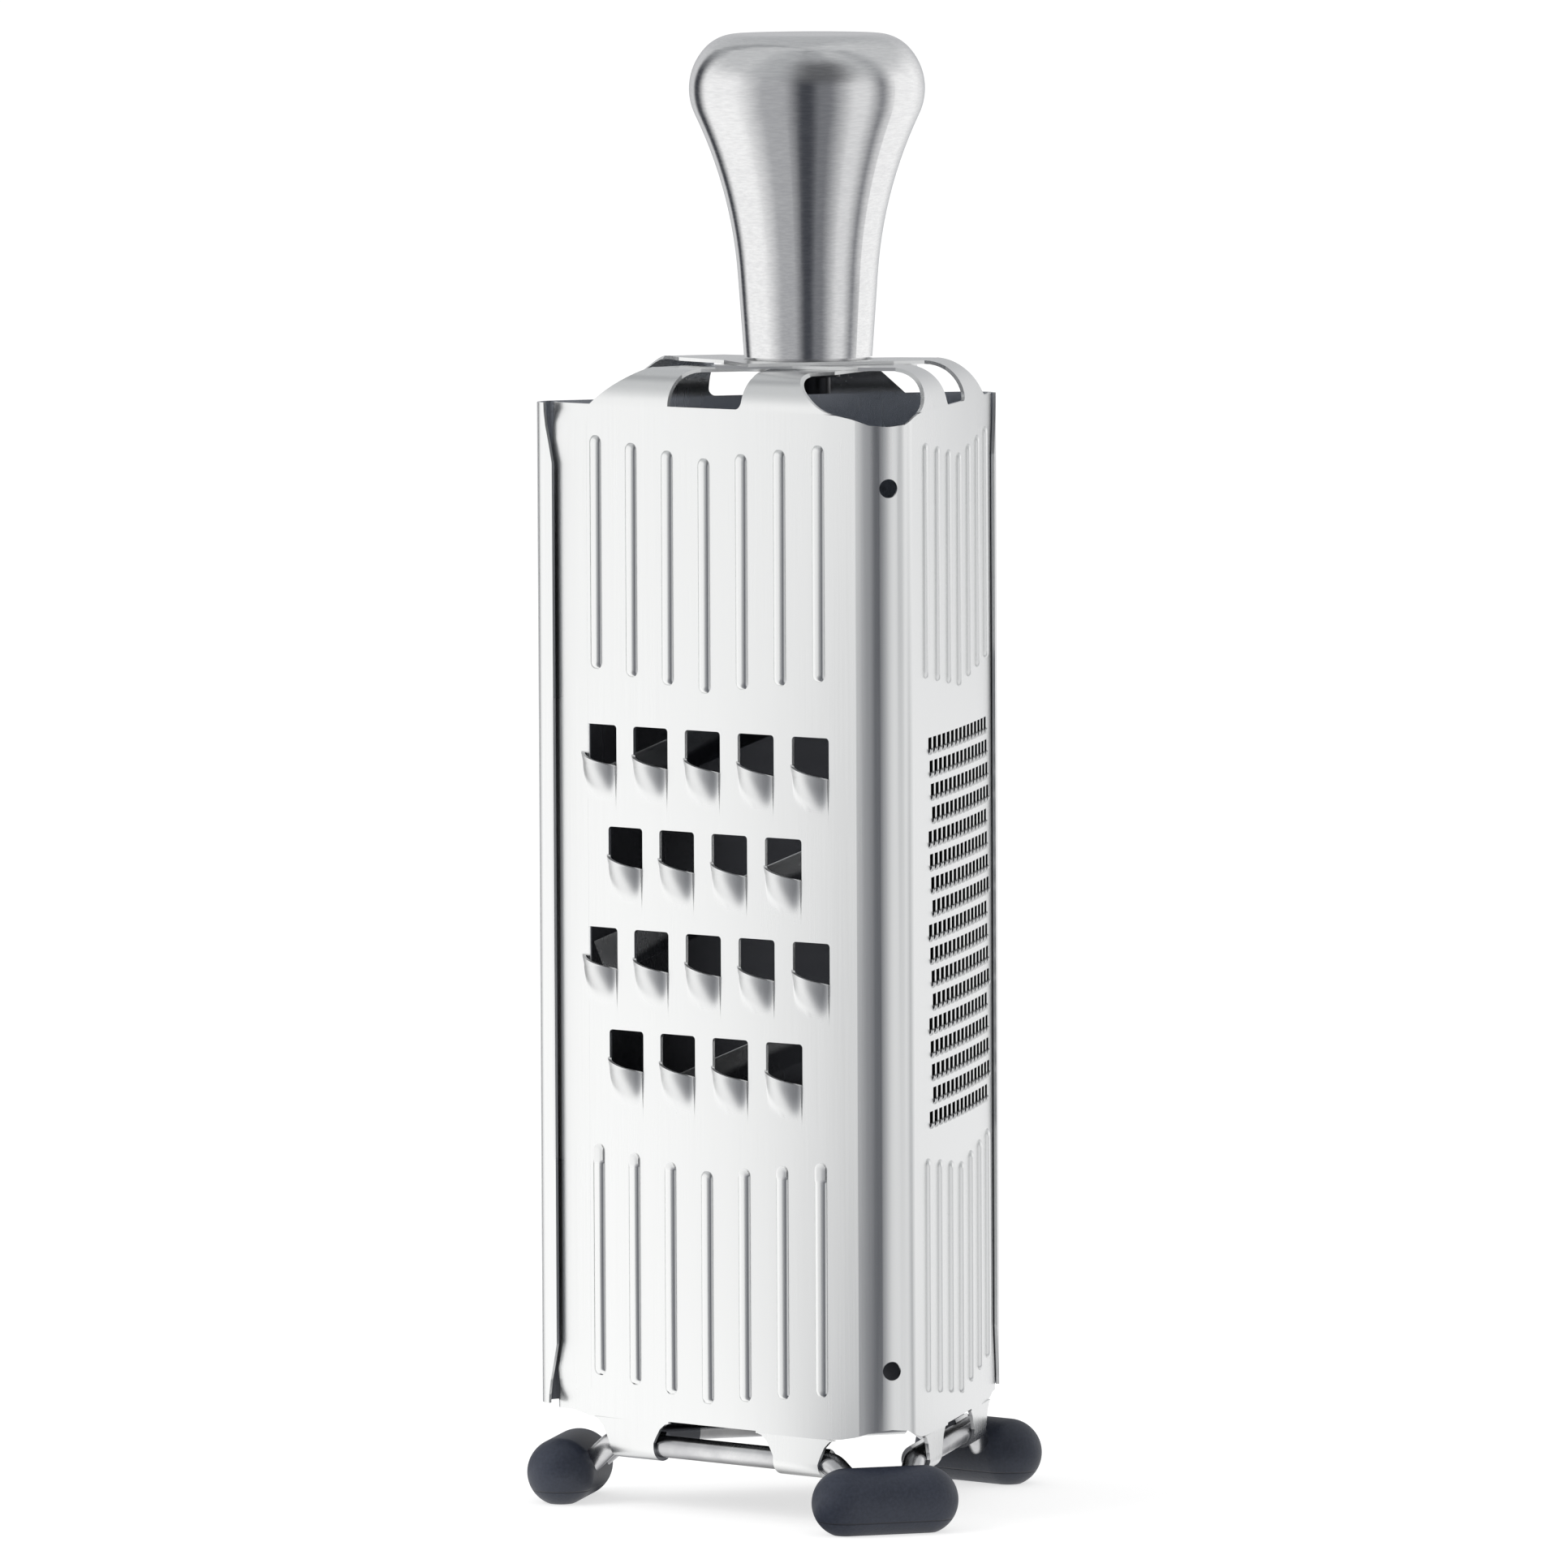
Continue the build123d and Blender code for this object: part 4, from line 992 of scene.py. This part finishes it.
def add_floor(stage):
    """A wide pale floor that meets the feet. The metal sees the studio's screens in it, dimmed under
    the tower as a painted shadow.
    """
    half = stage.floor_size / 2
    corners = [(-half, -half, 0), (half, -half, 0), (half, half, 0), (-half, half, 0)]
    mesh = bpy.data.meshes.new("Floor")
    mesh.from_pydata(corners, [], [(0, 1, 2, 3)])
    floor = bpy.data.objects.new("Floor", mesh)
    material, board = new_board("Pale floor")
    _, (x, y, _) = board.place()
    east, north = board.off_axis(x, y)
    reach = board.reach(east, north)
    plain = {"Base Color": (*stage.floor_colour, 1.0), "Roughness": 0.9, "Specular IOR Level": 0.0}
    lit = board.node("ShaderNodeBsdfPrincipled", inputs=plain)
    shown = board.node("ShaderNodeBsdfPrincipled", inputs={
        **plain, "Base Color": (0.5, 0.5, 0.5, 1.0), "Emission Color": (1, 1, 1, 1),
        "Emission Strength": stage.floor_lift})
    low = studio_glow(board, east - CORNER[0], north - CORNER[1], stage, LOW_SCREENS)
    glow = board.tint(reach.step(*NEAR_FLOOR), low, studio_glow(board, east, north, stage, SCREENS))
    # Painted shadow: under the tower the floor's glow that the metal mirrors is dimmed to grey
    glow = board.tint(reach.step(*PAINTED_SHADOW_UNDER_TOWER), (0.3, 0.3, 0.3), glow)
    seen = board.node("ShaderNodeBsdfPrincipled", inputs={
        "Base Color": (0, 0, 0, 1), "Specular IOR Level": 0.0, "Emission Color": glow,
        "Emission Strength": stage.glow})
    camera, glossy, clear = board.rays()
    first = board.mixed((camera + clear).clamp(), lit, shown)
    board.finish(board.mixed(glossy, first, seen))
    mesh.materials.append(material)
    bpy.context.scene.collection.objects.link(floor)


def add_lamp(name, azimuth, height, distance, size, power):
    """A soft square lamp that looks at the tower's middle."""
    data = bpy.data.lights.new(name, "AREA")
    data.shape = "SQUARE"
    data.size = size
    data.energy = power
    lamp = bpy.data.objects.new(name, data)
    lamp.visible_glossy = False
    turn = math.radians(azimuth)
    middle = Vector((float(AXIS[0]), float(AXIS[1]), HEIGHT / 2))
    spot = middle + Vector((math.sin(turn) * distance, -math.cos(turn) * distance, height))
    facing = (spot - middle).to_track_quat("Z", "Y").to_matrix().to_4x4()
    lamp.matrix_world = Matrix.Translation(spot) @ facing
    bpy.context.scene.collection.objects.link(lamp)


def add_room(stage):
    """An even pale room. Metal sees it as a studio with soft bright screens and dark gaps."""
    world = bpy.data.worlds.new("Studio")
    bpy.context.scene.world = world
    world.use_nodes = True
    board = Board(world.node_tree)
    east, north, high = board.parts(board.node("ShaderNodeTexCoord", output="Generated"))
    colour = studio_glow(board, east, north, stage, SCREENS)

    # A dark patch overhead, its middle a little to the right of the camera's side
    turn = east.math("ARCTAN2", north * -1.0) - stage.azimuth
    aside = (turn - 0.3).math("SINE").math("ABSOLUTE")
    front = (aside * -1.0).step(-0.85, -0.15) * turn.math("COSINE").step(-0.2, 0.3)
    smudge = front * high.step(0.08, 0.45) * (1.0 - high.step(0.72, 0.94))
    colour = board.tint(high.step(0.15, 0.6) * 0.75, colour, (0.42, 0.43, 0.44))
    colour = board.tint(smudge * stage.smudge, colour, (0.02, 0.02, 0.025))

    camera, glossy, clear = board.rays()
    colour = board.tint(glossy, (1.0, 1.0, 1.0), colour)
    seen = (camera + clear).clamp()
    strength = seen + glossy * stage.glow + (1.0 - (seen + glossy).clamp()) * stage.room_light
    light = board.node("ShaderNodeBackground", inputs={"Color": colour, "Strength": strength})
    out = board.tree.nodes.new("ShaderNodeOutputWorld")
    board.tree.links.new(light.link, out.inputs["Surface"])


class GRATER_OT_stage(bpy.types.Operator):
    """Set the pale floor, the soft lamp, the room and the camera"""

    bl_idname = "grater.stage"
    bl_label = "Stage"

    def execute(self, context):
        stage = context.scene.grater_stage
        context.scene.view_settings.view_transform = "Standard"
        add_floor(stage)
        add_room(stage)
        add_lamp("Key", azimuth=-20.0, height=1.6, distance=2.2, size=1.6, power=stage.key_power)
        add_camera(stage)
        return {"FINISHED"}


class GRATER_PT_panel(bpy.types.Panel):
    """The grater's pieces in the sidebar"""

    bl_label = "Grater"
    bl_idname = "GRATER_PT_panel"
    bl_space_type = "VIEW_3D"
    bl_region_type = "UI"
    bl_category = "Grater"

    def draw(self, context):
        for operator in OPERATORS:
            self.layout.operator(operator.bl_idname)


OPERATORS = (GRATER_OT_metals, GRATER_OT_feet, GRATER_OT_teeth, GRATER_OT_stage)
GROUPS = (("grater_finish", GraterFinish), ("grater_teeth", GraterTeeth), ("grater_stage", GraterStage))


def register():
    for _, group in GROUPS:
        bpy.utils.register_class(group)
    for name, group in GROUPS:
        setattr(bpy.types.Scene, name, PointerProperty(type=group))
    for operator in OPERATORS:
        bpy.utils.register_class(operator)
    bpy.utils.register_class(GRATER_PT_panel)


def unregister():
    bpy.utils.unregister_class(GRATER_PT_panel)
    for operator in reversed(OPERATORS):
        bpy.utils.unregister_class(operator)
    for name, group in reversed(GROUPS):
        delattr(bpy.types.Scene, name)
        bpy.utils.unregister_class(group)


def main():
    """Register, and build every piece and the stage."""
    register()
    bpy.ops.grater.metals()
    bpy.ops.grater.feet()
    bpy.ops.grater.teeth()
    bpy.ops.grater.stage()


if __name__ == "__main__":
    main()
